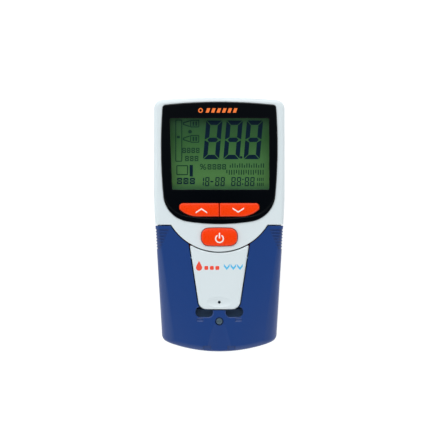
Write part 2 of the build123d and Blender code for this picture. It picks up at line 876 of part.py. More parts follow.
# White sample lid
with BuildPart() as sample_lid:
    add(cover_block(0, lid_proud))
    with BuildSketch(Plane.XY.offset(part_z)):
        add(lid_outline())
        add(apron_disc(apron_radius - seam_gap / 2 + lid_gap), mode=Mode.SUBTRACT)
    extrude(amount=face_z, mode=Mode.INTERSECT)
    fillet(sample_lid.edges().filter_by(Axis.Z).group_by(Axis.Y)[-1], lid_tip)
    fillet(sample_lid.faces().sort_by(Axis.Z)[-1].edges(), lid_edge)
    add(lid_room.part, mode=Mode.SUBTRACT)
    add(lid_reach.part, mode=Mode.INTERSECT)
    # Rounded foot, and a barrel-shaped dimple with the sample port
    with BuildSketch(Plane.YZ.offset(-width / 2)):
        with BuildLine():
            ThreePointArc(
                (lid_bend_y, cover_face_z(lid_bend_y, lid_proud)),
                ((lid_bend_y + lid_end_y) / 2, cover_face_z(lid_bend_y, lid_proud) - lid_bend_middle),
                (lid_end_y, cover_face_z(lid_bend_y, lid_proud) - lid_bend_drop),
            )
            Polyline(
                (lid_end_y, cover_face_z(lid_bend_y, lid_proud) - lid_bend_drop),
                (lid_end_y - 1, cover_face_z(lid_bend_y, lid_proud) - 2 * lid_bend_drop),
                (lid_end_y - 1, face_z + 1),
                (lid_bend_y, face_z + 1),
                (lid_bend_y, cover_face_z(lid_bend_y, lid_proud)),
            )
        make_face()
    extrude(amount=width, mode=Mode.SUBTRACT)
    with BuildSketch(Plane(origin=(0, port_y, dimple_axis_z), x_dir=(1, 0, 0), z_dir=(0, -1, 0))):
        with BuildLine():
            Polyline(
                (-dimple_length / 2, dimple_depth - dimple_radius),
                (-dimple_length / 2, 0),
                (dimple_length / 2, 0),
                (dimple_length / 2, dimple_depth - dimple_radius),
            )
            ThreePointArc(
                (-dimple_length / 2, dimple_depth - dimple_radius),
                (0, -dimple_radius),
                (dimple_length / 2, dimple_depth - dimple_radius),
            )
        make_face()
    revolve(axis=Axis((0, port_y, dimple_axis_z), (1, 0, 0)), mode=Mode.SUBTRACT)
    with BuildSketch(Plane.XY.offset(part_z)):
        with Locations((0, port_y)):
            Circle(port_radius)
    extrude(amount=face_z, mode=Mode.SUBTRACT)
    for side in (-1, 1):
        with BuildSketch(Plane.YZ.offset(side * (hinge_half + lid_gap))):
            with Locations((hinge_y, hinge_z)):
                Circle(pin_radius + pin_fit)
        extrude(amount=-side * (pin_length - hinge_boss_width + pin_end_gap), mode=Mode.SUBTRACT)

with BuildPart() as hinge_pins:
    for side in (-1, 1):
        with BuildSketch(Plane.YZ.offset(side * (hinge_outer_x - pin_length))):
            with Locations((hinge_y, hinge_z)):
                Circle(pin_radius)
        extrude(amount=side * pin_length)

# Solid block that the rear shell and the battery door are both cut from
with BuildPart() as rear_block:
    with BuildSketch(Plane.XY.offset(rear_z)):
        add(outline(rear_inset))
    extrude(amount=part_z - rear_z)
    fillet(rear_block.faces().sort_by(Axis.Z)[0].edges(), rear_rim)

# Room inside the rear shell, less the posts and the walls of the battery bay
with BuildPart() as rear_room:
    with BuildSketch(Plane.XY.offset(floor_z)):
        add(outline(rear_inset + wall))
        with Locations(*case_screw_places):
            Circle(rear_post_radius, mode=Mode.SUBTRACT)
        with Locations(*sensor_post_places):
            Circle(board_post_radius, mode=Mode.SUBTRACT)
        with Locations(*tray_post_places):
            Circle(board_post_radius, mode=Mode.SUBTRACT)
        with Locations((0, bay_middle_y)):
            Rectangle(2 * (bay_half + bay_wall), bay_length + 2 * bay_wall, mode=Mode.SUBTRACT)
            Rectangle(2 * bay_half, bay_length)
    extrude(amount=part_z)
    with BuildSketch(Plane.XY.offset(sensor_board_z)):
        with Locations(*sensor_post_places):
            Circle(board_post_radius)
    extrude(amount=part_z)

# Rear shell with the battery bay
with BuildPart() as rear_shell:
    add(rear_block.part)
    add(rear_room.part, mode=Mode.SUBTRACT)
    with BuildSketch(Plane.XY.offset(bay_ceiling_z)):
        with Locations((0, bay_middle_y)):
            Rectangle(2 * (bay_half + bay_wall), bay_length + 2 * bay_wall)
    extrude(amount=bay_wall)
    with BuildSketch(Plane.XY.offset(part_z - bay_wall)):
        with Locations(*tray_post_places):
            Circle(board_post_radius)
    extrude(amount=tray_z - part_z + bay_wall)
    # Floor above the door, between the battery bay and the display end
    with BuildSketch(Plane.XY.offset(floor_z)):
        add(outline(rear_inset + wall / 2))
        with Locations((0, bay_top_y + length / 2)):
            Rectangle(2 * (bay_half + bay_wall), length, mode=Mode.INTERSECT)
    extrude(amount=door_gap + bay_wall)
    # Rim that reaches into the front shells, cut back at the screw posts
    with BuildSketch(Plane.XY.offset(part_z - 2 * lip_width)):
        add(outline(rear_inset + wall - lip_clearance))
        add(outline(wall + lip_clearance + lip_width), mode=Mode.SUBTRACT)
    extrude(amount=2 * lip_width)
    with BuildSketch(Plane.XY.offset(part_z - lip_width)):
        add(outline(wall + lip_clearance))
        add(outline(wall + lip_clearance + lip_width), mode=Mode.SUBTRACT)
        with Locations(*case_screw_places):
            Circle(case_post_radius + lip_clearance, mode=Mode.SUBTRACT)
    extrude(amount=2 * lip_width)
    # Opening for the battery door, with ledges that its flanges run on
    with BuildSketch(Plane.XY):
        with Locations((0, door_start - door_gap + length / 2)):
            Rectangle(2 * (door_half + door_gap), length)
    extrude(amount=door_ledge_z, mode=Mode.SUBTRACT)
    with BuildSketch(Plane.XY.offset(door_ledge_z)):
        with Locations((0, door_start - door_gap + length / 2)):
            Rectangle(2 * bay_half, length)
    extrude(amount=floor_z + door_gap - door_ledge_z, mode=Mode.SUBTRACT)
    with BuildSketch(Plane.XY.offset(floor_z + door_gap)):
        for rail_y in door_rail_places:
            for side in (-1, 1):
                with Locations((side * (bay_half - door_rail_reach / 2), rail_y)):
                    Rectangle(door_rail_reach, door_rail_length)
    extrude(amount=door_rail_height)
    # Screw holes, foot recesses and sound holes
    with Locations(Plane.XY.offset(rear_z)):
        with Locations(*case_screw_places):
            Cylinder(
                case_screw_bore,
                case_screw_sink,
                align=(Align.CENTER, Align.CENTER, Align.MIN),
                mode=Mode.SUBTRACT,
            )
            Cylinder(
                case_screw_hole,
                part_z,
                align=(Align.CENTER, Align.CENTER, Align.MIN),
                mode=Mode.SUBTRACT,
            )
    with BuildSketch(Plane.XY.offset(sensor_screw_low)):
        with Locations(*sensor_post_places):
            Circle(board_screw_radius + screw_seat)
    extrude(amount=part_z, mode=Mode.SUBTRACT)
    with BuildSketch(Plane.XY):
        with Locations(*foot_places):
            Circle(foot_radius + foot_fit)
    extrude(amount=rear_z + foot_sink, mode=Mode.SUBTRACT)
    with BuildSketch(Plane.XY):
        with Locations((sound_x, sound_y)):
            Circle(sound_radius)
            with PolarLocations(sound_ring, sound_count):
                Circle(sound_radius)
    extrude(amount=floor_z, mode=Mode.SUBTRACT)

# Battery door: a skin between the ledges and flanges above them
with BuildPart() as battery_door:
    add(rear_block.part)
    with BuildPart(mode=Mode.INTERSECT):
        with BuildSketch(Plane.XY):
            with Locations((0, door_start + length / 2)):
                Rectangle(2 * door_half, length)
        extrude(amount=floor_z)
        with BuildSketch(Plane.XY.offset(rear_z + door_skin)):
            with Locations((0, door_start + length / 2)):
                Rectangle(2 * (door_half + door_flange), length)
        extrude(amount=floor_z - rear_z - door_skin)
    # Thumb recess with ribs, and an arrow that shows the way it slides
    with BuildSketch(Plane.XY):
        with Locations((0, door_grip_y)):
            Circle(door_grip_radius)
            with GridLocations(0, door_rib_pitch, 1, door_rib_count):
                Rectangle(3 * door_grip_radius, door_rib_width, mode=Mode.SUBTRACT)
        with Locations((0, door_arrow_y)):
            Triangle(a=door_arrow_width, B=45, C=45)
    extrude(amount=rear_z + door_grip_depth, mode=Mode.SUBTRACT)

# Gloss black display panel
with BuildPart() as display_panel:
    with BuildSketch(Plane.XY.offset(panel_seat_z)):
        add(panel_outline())
    extrude(amount=panel_thickness)
    fillet(display_panel.faces().sort_by(Axis.Z)[-1].edges(), panel_edge)
    # Crescent step along the foot of the panel, narrowing to nothing at its low corners
    with BuildSketch(Plane.XY.offset(panel_z - panel_step_depth)):
        add(panel_outline(panel_step_margin))
        with Locations((0, panel_step_rise)):
            add(panel_outline(panel_step_margin), mode=Mode.SUBTRACT)
        with Locations((0, window_low_y - length)):
            Rectangle(2 * width, 2 * length, mode=Mode.INTERSECT)
    extrude(amount=face_z, mode=Mode.SUBTRACT)
    with BuildSketch(Plane.XY.offset(part_z)):
        add(window_outline(window_fit))
        add(pair_key_outline(-1, key_gap, -key_gap))
        add(pair_key_outline(1, key_gap, -key_gap))
    extrude(amount=face_z, mode=Mode.SUBTRACT)

with BuildPart() as display_window:
    with BuildSketch(Plane.XY.offset(panel_seat_z)):
        add(window_outline())
    extrude(amount=panel_thickness)

# Display glass: two panes, the front one shorter at the foot
with BuildPart() as display_glass:
    for pane_z, pane_low_y in ((glass_z, glass_low_y), (glass_z + glass_thickness / 2, glass_step_y)):
        with BuildSketch(Plane.XY.offset(pane_z)):
            with Locations((0, (pane_low_y + glass_top_y) / 2)):
                Rectangle(2 * glass_half, glass_top_y - pane_low_y)
        extrude(amount=glass_thickness / 2)

with BuildPart() as backlight:
    with BuildSketch(Plane.XY.offset(backlight_z)):
        with Locations((0, (glass_low_y + glass_top_y) / 2)):
            RectangleRounded(2 * backlight_half, glass_top_y - glass_low_y - 2 * backlight_inset, backlight_corner)
    extrude(amount=glass_z - backlight_z - dome_gap)

with BuildPart() as connector_strips:
    with BuildSketch(Plane.XY.offset(board_top_z)):
        for strip_y in (glass_low_y + strip_width / 2, glass_top_y - strip_width / 2):
            with Locations((0, strip_y)):
                Rectangle(2 * strip_half, strip_width)
    extrude(amount=glass_z - board_top_z)

with BuildPart() as display_frame:
    with BuildSketch(Plane.XY.offset(board_top_z)):
        with Locations((0, (glass_low_y + glass_top_y) / 2)):
            RectangleRounded(
                2 * (glass_half + glass_gap + frame_wall),
                glass_top_y - glass_low_y + 2 * (glass_gap + frame_wall),
                frame_wall,
            )
            Rectangle(
                2 * (glass_half + glass_gap),
                glass_top_y - glass_low_y + 2 * glass_gap,
                mode=Mode.SUBTRACT,
            )
    extrude(amount=glass_top_z - board_top_z)

# Main circuit board and the parts on its lower side
with BuildPart() as main_board:
    with BuildSketch(Plane.XY.offset(board_z)):
        with Locations((0, (board_low_y + board_top_y) / 2)):
            RectangleRounded(2 * board_half, board_top_y - board_low_y, board_corner)
        with Locations(*case_screw_places[:2]):
            Circle(case_post_radius + board_margin, mode=Mode.SUBTRACT)
            Rectangle(
                2 * (case_post_radius + board_margin),
                2 * (case_post_radius + board_margin),
                align=(Align.CENTER, Align.MIN),
                mode=Mode.SUBTRACT,
            )
        with Locations(*board_screw_places):
            Circle(board_screw_radius + dome_gap, mode=Mode.SUBTRACT)
    extrude(amount=board_thickness)

with BuildPart() as controller_chip:
    with BuildSketch(Plane.XY.offset(board_z)):
        with Locations((controller_x, controller_y)):
            Rectangle(controller_size, controller_size)
    extrude(amount=-controller_height)
    chamfer(controller_chip.faces().sort_by(Axis.Z)[0].edges(), chip_chamfer)

with BuildPart() as memory_chip:
    with BuildSketch(Plane.XY.offset(board_z)):
        with Locations((memory_x, memory_y)):
            Rectangle(memory_length, memory_width)
    extrude(amount=-controller_height)
    chamfer(memory_chip.faces().sort_by(Axis.Z)[0].edges(), chip_chamfer)

with BuildPart() as crystal:
    with BuildSketch(Plane.XY.offset(board_z)):
        with Locations((crystal_x, crystal_y)):
            SlotOverall(crystal_length, crystal_width)
    extrude(amount=-crystal_height)
    fillet(crystal.faces().sort_by(Axis.Z)[0].edges(), can_edge)

with BuildPart() as capacitors:
    with BuildSketch(Plane.XY.offset(board_z)):
        with Locations((0, capacitor_y)):
            with GridLocations(capacitor_pitch, 0, capacitor_count, 1):
                Rectangle(capacitor_width, capacitor_length)
    extrude(amount=-capacitor_height)

with BuildPart() as buzzer:
    with BuildSketch(Plane.XY.offset(board_z)):
        with Locations((sound_x, sound_y)):
            Circle(buzzer_radius)
    extrude(amount=-buzzer_height)
    fillet(buzzer.faces().sort_by(Axis.Z)[0].edges(), can_edge)
    with BuildSketch(Plane.XY.offset(board_z - buzzer_height)):
        with Locations((sound_x, sound_y)):
            Circle(buzzer_mouth)
    extrude(amount=buzzer_height / 2, mode=Mode.SUBTRACT)

# Silicone key mat with its domes, and the contact pills under the domes
with BuildPart() as key_mat:
    with BuildSketch(Plane.XY.offset(board_top_z)):
        with Locations((0, (mat_low_y + mat_top_y) / 2)):
            RectangleRounded(2 * mat_half, mat_top_y - mat_low_y, mat_corner)
        with Locations(*dome_places.values()):
            Circle(dome_hole, mode=Mode.SUBTRACT)
    extrude(amount=mat_thickness)

key_pieces = {}
for key_name, (dome_x, dome_y) in dome_places.items():
    with BuildPart() as key_dome:
        with BuildSketch(Plane.XZ.offset(-dome_y)):
            with BuildLine():
                Polyline(
                    (dome_x, dome_height),
                    (dome_x + dome_neck, dome_height),
                    (dome_x + dome_neck, dome_height - dome_skin),
                    (dome_x + dome_foot, 0),
                    (dome_x + dome_foot - dome_skin, 0),
                    (dome_x + dome_neck - dome_skin, dome_height - 2 * dome_skin),
                    (dome_x + dome_neck - dome_skin, dome_height - dome_skin),
                    (dome_x, dome_height - dome_skin),
                    close=True,
                )
            make_face()
        revolve(axis=Axis((dome_x, dome_y, 0), (0, 0, 1)))
    key_dome.part.move(Location((0, 0, mat_z)))
    key_pieces[f"{key_name}_dome"] = key_dome
    with BuildPart() as key_pill:
        with BuildSketch(Plane.XY.offset(mat_z)):
            with Locations((dome_x, dome_y)):
                Circle(pill_radius)
        extrude(amount=pill_height)
    key_pieces[f"{key_name}_pill"] = key_pill

# Orange keys: crowned caps on flanges, with plungers down to the domes
for key_name, (dome_x, dome_y) in dome_places.items():
    side = {"up": -1, "down": 1, "power": 0}[key_name]
    middle_y = (pair_top_y + pair_low_y) / 2 if side else power_y
    top_z = panel_z + pair_proud if side else face_z + power_proud
    with BuildPart() as key:
        with BuildSketch(Plane.XY.offset(flange_z)):
            add(pair_key_outline(side) if side else power_outline())
        extrude(amount=top_z - flange_z)
        with BuildSketch(Plane.YZ.offset(-width)):
            with Locations((middle_y, top_z - key_crown)):
                Circle(key_crown)
        extrude(amount=2 * width, mode=Mode.INTERSECT)
        fillet(key.edges().filter_by(lambda e: e.center().Z > top_z - key_edge), key_edge)
        with BuildSketch(Plane.XY.offset(flange_z)):
            add(pair_key_outline(side, key_flange) if side else power_outline(key_flange))
        extrude(amount=key_flange_height)
        with BuildSketch(Plane.XY.offset(plunger_z)):
            with Locations((dome_x, dome_y)):
                Rectangle(2 * plunger_half_length, 2 * plunger_half_width)
        extrude(amount=flange_z - plunger_z)
    key_pieces[f"{key_name}_key"] = key

# Cartridge tray: a trough that is open below the lid and roofed towards the slot
with BuildPart() as cartridge_tray:
    with BuildSketch(Plane.XY.offset(tray_z)):
        with Locations((0, (tray_inner_end + tray_outer_end) / 2)):
            Rectangle(2 * (tray_inside_half + tray_wall), tray_inner_end - tray_outer_end)
    extrude(amount=tray_top_z - tray_z)
    with BuildSketch(Plane.XY.offset(tray_roof_z - tray_wall)):
        with Locations((0, (well_start + tray_roof_start - tray_wall) / 2)):
            Rectangle(2 * tray_flange_half, well_start - tray_roof_start + tray_wall)
    extrude(amount=tray_wall)
    with BuildSketch(Plane.XY.offset(tray_roof_z)):
        with Locations((0, tray_roof_start - tray_shade / 2)):
            Rectangle(2 * tray_flange_half, tray_shade)
    extrude(amount=tray_wall)
    with BuildSketch(Plane.XY.offset(tray_top_z)):
        with Locations((0, cover_screw_y)):
            Circle(cover_pad_radius)
    extrude(amount=cover_pad_gap)
    with BuildSketch(Plane.XY.offset(tray_inside_z)):
        with Locations((0, (tray_inner_end - tray_wall + tray_outer_end - tray_wall) / 2)):
            Rectangle(2 * tray_inside_half, tray_inner_end - tray_outer_end)
    extrude(amount=tray_inside_height, mode=Mode.SUBTRACT)
    with BuildSketch(Plane.XY.offset(tray_roof_z - tray_wall)):
        with Locations((0, tray_roof_start + length / 2)):
            Rectangle(2 * tray_inside_half, length)
        with Locations((0, tray_inner_end - tray_wall + length / 2)):
            Rectangle(width, length, mode=Mode.SUBTRACT)
    extrude(amount=face_z, mode=Mode.SUBTRACT)
    with BuildSketch(Plane.XY.offset(tray_roof_z)):
        with Locations((0, tray_roof_start + length / 2)):
            Rectangle(width, length)
    extrude(amount=face_z, mode=Mode.SUBTRACT)
    with BuildSketch(Plane.XY):
        with Locations((0, optic_y)):
            Rectangle(2 * (lens_half_length + lens_seat), 2 * (lens_half_width + lens_seat))
        with Locations((switch_x, switch_y)):
            Circle(switch_pin_radius + key_gap)
    extrude(amount=tray_inside_z, mode=Mode.SUBTRACT)
    with BuildSketch(Plane.XY.offset(tray_roof_z)):
        with Locations((0, cover_screw_y)):
            Circle(cover_screw_shank + screw_seat)
    extrude(amount=face_z, mode=Mode.SUBTRACT)

with BuildPart() as optics_window:
    with BuildSketch(Plane.XY.offset(tray_z)):
        with Locations((0, optic_y)):
            Rectangle(2 * lens_half_length, 2 * lens_half_width)
    extrude(amount=tray_wall)

# Optical block with its emitters and sensors on the sensor board
with BuildPart() as optical_block:
    with BuildSketch(Plane.XY.offset(optic_z)):
        with Locations((0, optic_y)):
            RectangleRounded(2 * optic_half_length, 2 * optic_half_width, optic_corner)
            with GridLocations(2 * emitter_x, optic_pitch, 2, 2):
                Circle(optic_bore, mode=Mode.SUBTRACT)
    extrude(amount=optic_height)
    with BuildSketch(Plane.XY.offset(optic_z)):
        with Locations((-emitter_x, optic_y)):
            with GridLocations(0, optic_pitch, 1, 2):
                Rectangle(sensor_pocket, sensor_pocket)
    extrude(amount=sensor_height + key_gap, mode=Mode.SUBTRACT)

with BuildPart() as light_emitters:
    with BuildSketch(Plane.XY.offset(optic_z)):
        with Locations((emitter_x, optic_y)):
            with GridLocations(0, optic_pitch, 1, 2):
                Circle(emitter_radius)
    extrude(amount=emitter_height)
    fillet(light_emitters.faces().group_by(Axis.Z)[-1].edges(), emitter_dome)

with BuildPart() as light_sensors:
    with BuildSketch(Plane.XY.offset(optic_z)):
        with Locations((-emitter_x, optic_y)):
            with GridLocations(0, optic_pitch, 1, 2):
                Rectangle(2 * sensor_half, 2 * sensor_half)
    extrude(amount=sensor_height)

with BuildPart() as sensor_board:
    with BuildSketch(Plane.XY.offset(sensor_board_z)):
        with Locations((0, (sensor_board_low_y + sensor_board_top_y) / 2)):
            RectangleRounded(
                2 * sensor_board_half, sensor_board_top_y - sensor_board_low_y, board_corner
            )
        with Locations(*sensor_post_places):
            Circle(board_screw_radius + dome_gap, mode=Mode.SUBTRACT)
    extrude(amount=board_thickness)

with BuildPart() as cartridge_switch:
    with BuildSketch(Plane.XY.offset(optic_z)):
        with Locations((switch_x, switch_y)):
            Rectangle(switch_length, switch_width)
    extrude(amount=tray_z - optic_z - switch_gap)
    with BuildSketch(Plane.XY.offset(tray_z - switch_gap)):
        with Locations((switch_x, switch_y)):
            Circle(switch_pin_radius)
    extrude(amount=tray_wall)

# Ribbon between the boards, and the socket at each of its ends
with BuildPart() as board_sockets:
    for socket_y, socket_z in ((ribbon_top_y, board_z - socket_height), (ribbon_low_y, optic_z)):
        with BuildSketch(Plane.XY.offset(socket_z)):
            with Locations((ribbon_x, socket_y)):
                Rectangle(ribbon_width + 2 * socket_margin, socket_depth)
        extrude(amount=socket_height)

with BuildPart() as ribbon_cable:
    with BuildSketch(Plane.YZ.offset(ribbon_x - ribbon_width / 2)):
        with BuildLine() as ribbon_path:
            FilletPolyline(
                (ribbon_top_y, board_z - socket_height),
                (ribbon_top_y, ribbon_turn_z),
                (ribbon_low_y, ribbon_turn_z),
                (ribbon_low_y, optic_z + socket_height),
                radius=ribbon_bend,
            )
        trace(ribbon_path.line, ribbon_thickness)
    extrude(amount=ribbon_width)

# Battery cells, their contact plates and springs
with BuildPart() as battery_cells:
    for index in range(cell_count):
        way = 1 if spring_is_low(index) else -1
        start_y = bay_middle_y - way * (bay_length / 2 - contact_thickness - spring_length)
        with BuildSketch(Plane(origin=(cell_x(index), start_y, cell_z), z_dir=(0, way, 0))):
            Circle(cell_radius)
        extrude(amount=cell_length - cell_nub_length)
        with BuildSketch(Plane(origin=(cell_x(index), start_y, cell_z), z_dir=(0, way, 0))):
            Circle(cell_nub_radius)
        extrude(amount=cell_length)

with BuildPart() as battery_springs:
    for index in range(cell_count):
        way = 1 if spring_is_low(index) else -1
        start_y = bay_middle_y - way * (bay_length / 2 - contact_thickness)
        with BuildSketch(
            Plane(origin=(cell_x(index), start_y, cell_z), x_dir=(0, way, 0), z_dir=(way, 0, 0))
        ):
            with BuildLine():
                Polyline(
                    (0, spring_foot - spring_wire),
                    (0, spring_foot),
                    (spring_length, spring_tip),
                    (spring_length, spring_tip - spring_wire),
                    close=True,
                )
            make_face()
        revolve(axis=Axis((cell_x(index), start_y, cell_z), (0, 1, 0)))

with BuildPart() as battery_contacts:
    for index in range(cell_count):
        for way in (-1, 1):
            plate_y = bay_middle_y - way * bay_length / 2
            with BuildSketch(Plane(origin=(cell_x(index), plate_y, cell_z), z_dir=(0, way, 0))):
                Rectangle(2 * (cell_radius - contact_margin), 2 * (cell_radius - contact_margin))
            extrude(amount=contact_thickness)
            if spring_is_low(index) == (way < 0):
                with BuildSketch(Plane(origin=(cell_x(index), plate_y, cell_z), z_dir=(0, way, 0))):
                    Circle(cell_nub_radius)
                extrude(amount=contact_thickness + contact_bump)

# Screws: a head with a cross recess and a plain shank
with BuildPart() as case_screws:
    with BuildSketch(Plane.XY.offset(case_head_z)):
        with Locations(*case_screw_places):
            Circle(case_screw_head)
    extrude(amount=case_screw_head_height)
    with BuildSketch(Plane.XY.offset(case_head_z + case_screw_head_height)):
        with Locations(*case_screw_places):
            Circle(case_screw_radius)
    extrude(amount=case_screw_length)
    with BuildSketch(Plane.XY.offset(case_head_z)):
        with Locations(*case_screw_places):
            Rectangle(case_cross, cross_width)
            Rectangle(cross_width, case_cross)
    extrude(amount=cross_depth, mode=Mode.SUBTRACT)

with BuildPart() as board_screws:
    with BuildSketch(Plane.XY.offset(board_z)):
        with Locations(*board_screw_places):
            Circle(board_screw_head_radius)
    extrude(amount=-board_screw_head_height)
    with BuildSketch(Plane.XY.offset(board_z)):
        with Locations(*board_screw_places):
            Circle(board_screw_radius)
    extrude(amount=board_screw_length)

with BuildPart() as sensor_screws:
    with BuildSketch(Plane.XY.offset(optic_z)):
        with Locations(*sensor_post_places):
            Circle(board_screw_head_radius)
    extrude(amount=board_screw_head_height)
    with BuildSketch(Plane.XY.offset(optic_z)):
        with Locations(*sensor_post_places):
            Circle(board_screw_radius)
    extrude(amount=-board_screw_length)

with BuildPart() as cover_screw:
    with BuildSketch(Plane.XY.offset(cover_head_z)):
        with Locations((0, cover_screw_y)):
            Circle(cover_screw_head)
    extrude(amount=cover_screw_head_height)
    fillet(cover_screw.faces().sort_by(Axis.Z)[-1].edges(), cover_screw_edge)
    with BuildSketch(Plane.XY.offset(cover_head_z)):
        with Locations((0, cover_screw_y)):
            Circle(cover_screw_shank)
    extrude(amount=-cover_screw_shank_length)
    with BuildSketch(Plane.XY.offset(cover_head_z + cover_screw_head_height)):
        with Locations((0, cover_screw_y)):
            Rectangle(cover_cross, cross_width)
            Rectangle(cross_width, cover_cross)
    extrude(amount=-cross_depth, mode=Mode.SUBTRACT)

with BuildPart() as rubber_feet:
    with BuildSketch(Plane.XY):
        with Locations(*foot_places):
            Circle(foot_radius)
    extrude(amount=rear_z + foot_sink)
    fillet(rubber_feet.faces().group_by(Axis.Z)[0].edges(), foot_edge)

pieces = {
    "upper_front_shell": upper_front_shell,
    "lower_front_cover": lower_front_cover,
    "rear_shell": rear_shell,
    "battery_door": battery_door,
    "sample_lid": sample_lid,
    "hinge_pins": hinge_pins,
    "display_panel": display_panel,
    "display_window": display_window,
    "display_glass": display_glass,
    "display_frame": display_frame,
    "backlight": backlight,
    "connector_strips": connector_strips,
    "main_board": main_board,
    "controller_chip": controller_chip,
    "memory_chip": memory_chip,
    "crystal": crystal,
    "capacitors": capacitors,
    "buzzer": buzzer,
    "key_mat": key_mat,
    **key_pieces,
    "cartridge_tray": cartridge_tray,
    "optics_window": optics_window,
    "optical_block": optical_block,
    "light_emitters": light_emitters,
    "light_sensors": light_sensors,
    "sensor_board": sensor_board,
    "cartridge_switch": cartridge_switch,
    "board_sockets": board_sockets,
    "ribbon_cable": ribbon_cable,
    "battery_cells": battery_cells,
    "battery_springs": battery_springs,
    "battery_contacts": battery_contacts,
    "case_screws": case_screws,
    "board_screws": board_screws,
    "sensor_screws": sensor_screws,
    "cover_screw": cover_screw,
    "rubber_feet": rubber_feet,
}
os.makedirs("parts", exist_ok=True)
for name, piece in pieces.items():
    piece.part.label = name
    export_step(piece.part, f"parts/{name}.step")
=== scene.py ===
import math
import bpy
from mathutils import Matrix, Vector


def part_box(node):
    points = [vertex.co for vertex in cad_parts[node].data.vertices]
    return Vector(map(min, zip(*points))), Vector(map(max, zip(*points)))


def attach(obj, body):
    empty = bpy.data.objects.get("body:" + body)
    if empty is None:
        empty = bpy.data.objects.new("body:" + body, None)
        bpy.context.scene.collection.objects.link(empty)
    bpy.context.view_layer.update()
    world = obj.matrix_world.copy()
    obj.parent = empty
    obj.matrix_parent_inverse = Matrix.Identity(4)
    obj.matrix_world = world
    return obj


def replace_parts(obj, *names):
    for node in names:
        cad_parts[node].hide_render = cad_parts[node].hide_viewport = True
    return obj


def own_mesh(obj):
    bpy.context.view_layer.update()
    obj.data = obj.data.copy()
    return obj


bl_info = {
    "name": "Blood Meter Finishes",
    "version": (1, 0, 0),
    "blender": (4, 5, 0),
    "location": "3D View > Sidebar > Meter",
    "description": "Finishes, display, printed marks and studio of a handheld glycated hemoglobin meter",
    "category": "Object",
}

import bmesh
import bpy
from bpy.props import FloatProperty, FloatVectorProperty, PointerProperty, StringProperty
from mathutils import Vector
from mathutils.bvhtree import BVHTree
from mathutils.geometry import tessellate_polygon

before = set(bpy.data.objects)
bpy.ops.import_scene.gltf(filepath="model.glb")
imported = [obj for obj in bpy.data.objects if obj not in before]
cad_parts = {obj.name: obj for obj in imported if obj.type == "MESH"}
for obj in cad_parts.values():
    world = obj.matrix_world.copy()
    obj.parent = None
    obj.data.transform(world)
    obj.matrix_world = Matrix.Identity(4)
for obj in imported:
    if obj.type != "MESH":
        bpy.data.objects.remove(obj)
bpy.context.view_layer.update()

MM = 0.001
RIGID = "case"

# A noise texture's values lie mostly in the first range, and dust shows only over the higher second one
NOISE_RANGE = {"From Min": 0.3, "From Max": 0.7}
DUST_RANGE = {"From Min": 0.35, "From Max": 0.75}
GRAIN_DEPTH = 0.02 * MM


def linear(colour):
    """An sRGB hex colour as linear red, green, blue and alpha."""
    parts = [int(colour[start : start + 2], 16) / 255 for start in (1, 3, 5)]
    return tuple(c / 12.92 if c <= 0.04045 else ((c + 0.055) / 1.055) ** 2.4 for c in parts) + (1.0,)


def scaled(colour, share):
    """A linear colour made darker or paler by that share."""
    return tuple(min(1.0, part * share) for part in colour[:3]) + (1.0,)


def live(sockets, key):
    """The socket of that number, or the first of that name that the node has in use."""
    if isinstance(key, int):
        return sockets[key]
    return next((socket for socket in sockets if socket.enabled and socket.name == key), None)


def add(tree, kind, settings=None, links=None):
    """Adds a node, sets its inputs and attributes, and links sockets, or nodes' main outputs, into it."""
    node = tree.nodes.new(kind)
    for key, value in (settings or {}).items():
        socket = live(node.inputs, key)
        if socket is None:
            setattr(node, key, value)
        else:
            socket.default_value = value
    for key, source in (links or {}).items():
        if isinstance(source, bpy.types.Node):
            source = next(socket for socket in source.outputs if socket.enabled)
        tree.links.new(source, live(node.inputs, key))
    return node


def new_material(name):
    """A material with no nodes yet, and its node tree."""
    material = bpy.data.materials.new(name)
    material.use_nodes = True
    material.node_tree.nodes.clear()
    return material, material.node_tree


def moulded(name, colour, roughness, grain, bump, edge=0.2, tint=0.04, ior=1.53, shine=0.5):
    """A moulded plastic or rubber: fine grain of that size in millimetres, and slightly rounded edges."""
    material, tree = new_material(name)
    place = add(tree, "ShaderNodeTexCoord").outputs["Object"]
    # A tool's real grain is 0.02 to 0.1 mm, too fine to show; each is drawn at the coarser size given
    fine = add(tree, "ShaderNodeTexNoise", {"Scale": 1 / (grain * MM), "Detail": 2.0}, {"Vector": place})
    # The melt's flow marks are really this wide
    broad = add(tree, "ShaderNodeTexNoise", {"Scale": 1 / (18 * MM), "Detail": 2.0}, {"Vector": place})
    base = linear(colour)
    shade = add(
        tree,
        "ShaderNodeMix",
        {"data_type": "RGBA", "A": scaled(base, 1 - tint), "B": scaled(base, 1 + tint)},
        {"Factor": broad},
    )
    swing = 0.05
    rough = add(
        tree,
        "ShaderNodeMapRange",
        NOISE_RANGE | {"To Min": roughness - swing, "To Max": roughness + swing},
        {"Value": fine},
    )
    rounded = add(tree, "ShaderNodeBevel", {"samples": 4, "Radius": edge * MM})
    relief = add(
        tree,
        "ShaderNodeBump",
        {"Strength": bump, "Distance": GRAIN_DEPTH},
        {"Height": fine, "Normal": rounded},
    )
    shader = add(
        tree,
        "ShaderNodeBsdfPrincipled",
        {"IOR": ior, "Specular IOR Level": shine},
        {"Base Color": shade, "Roughness": rough, "Normal": relief},
    )
    add(tree, "ShaderNodeOutputMaterial", links={"Surface": shader})
    return material


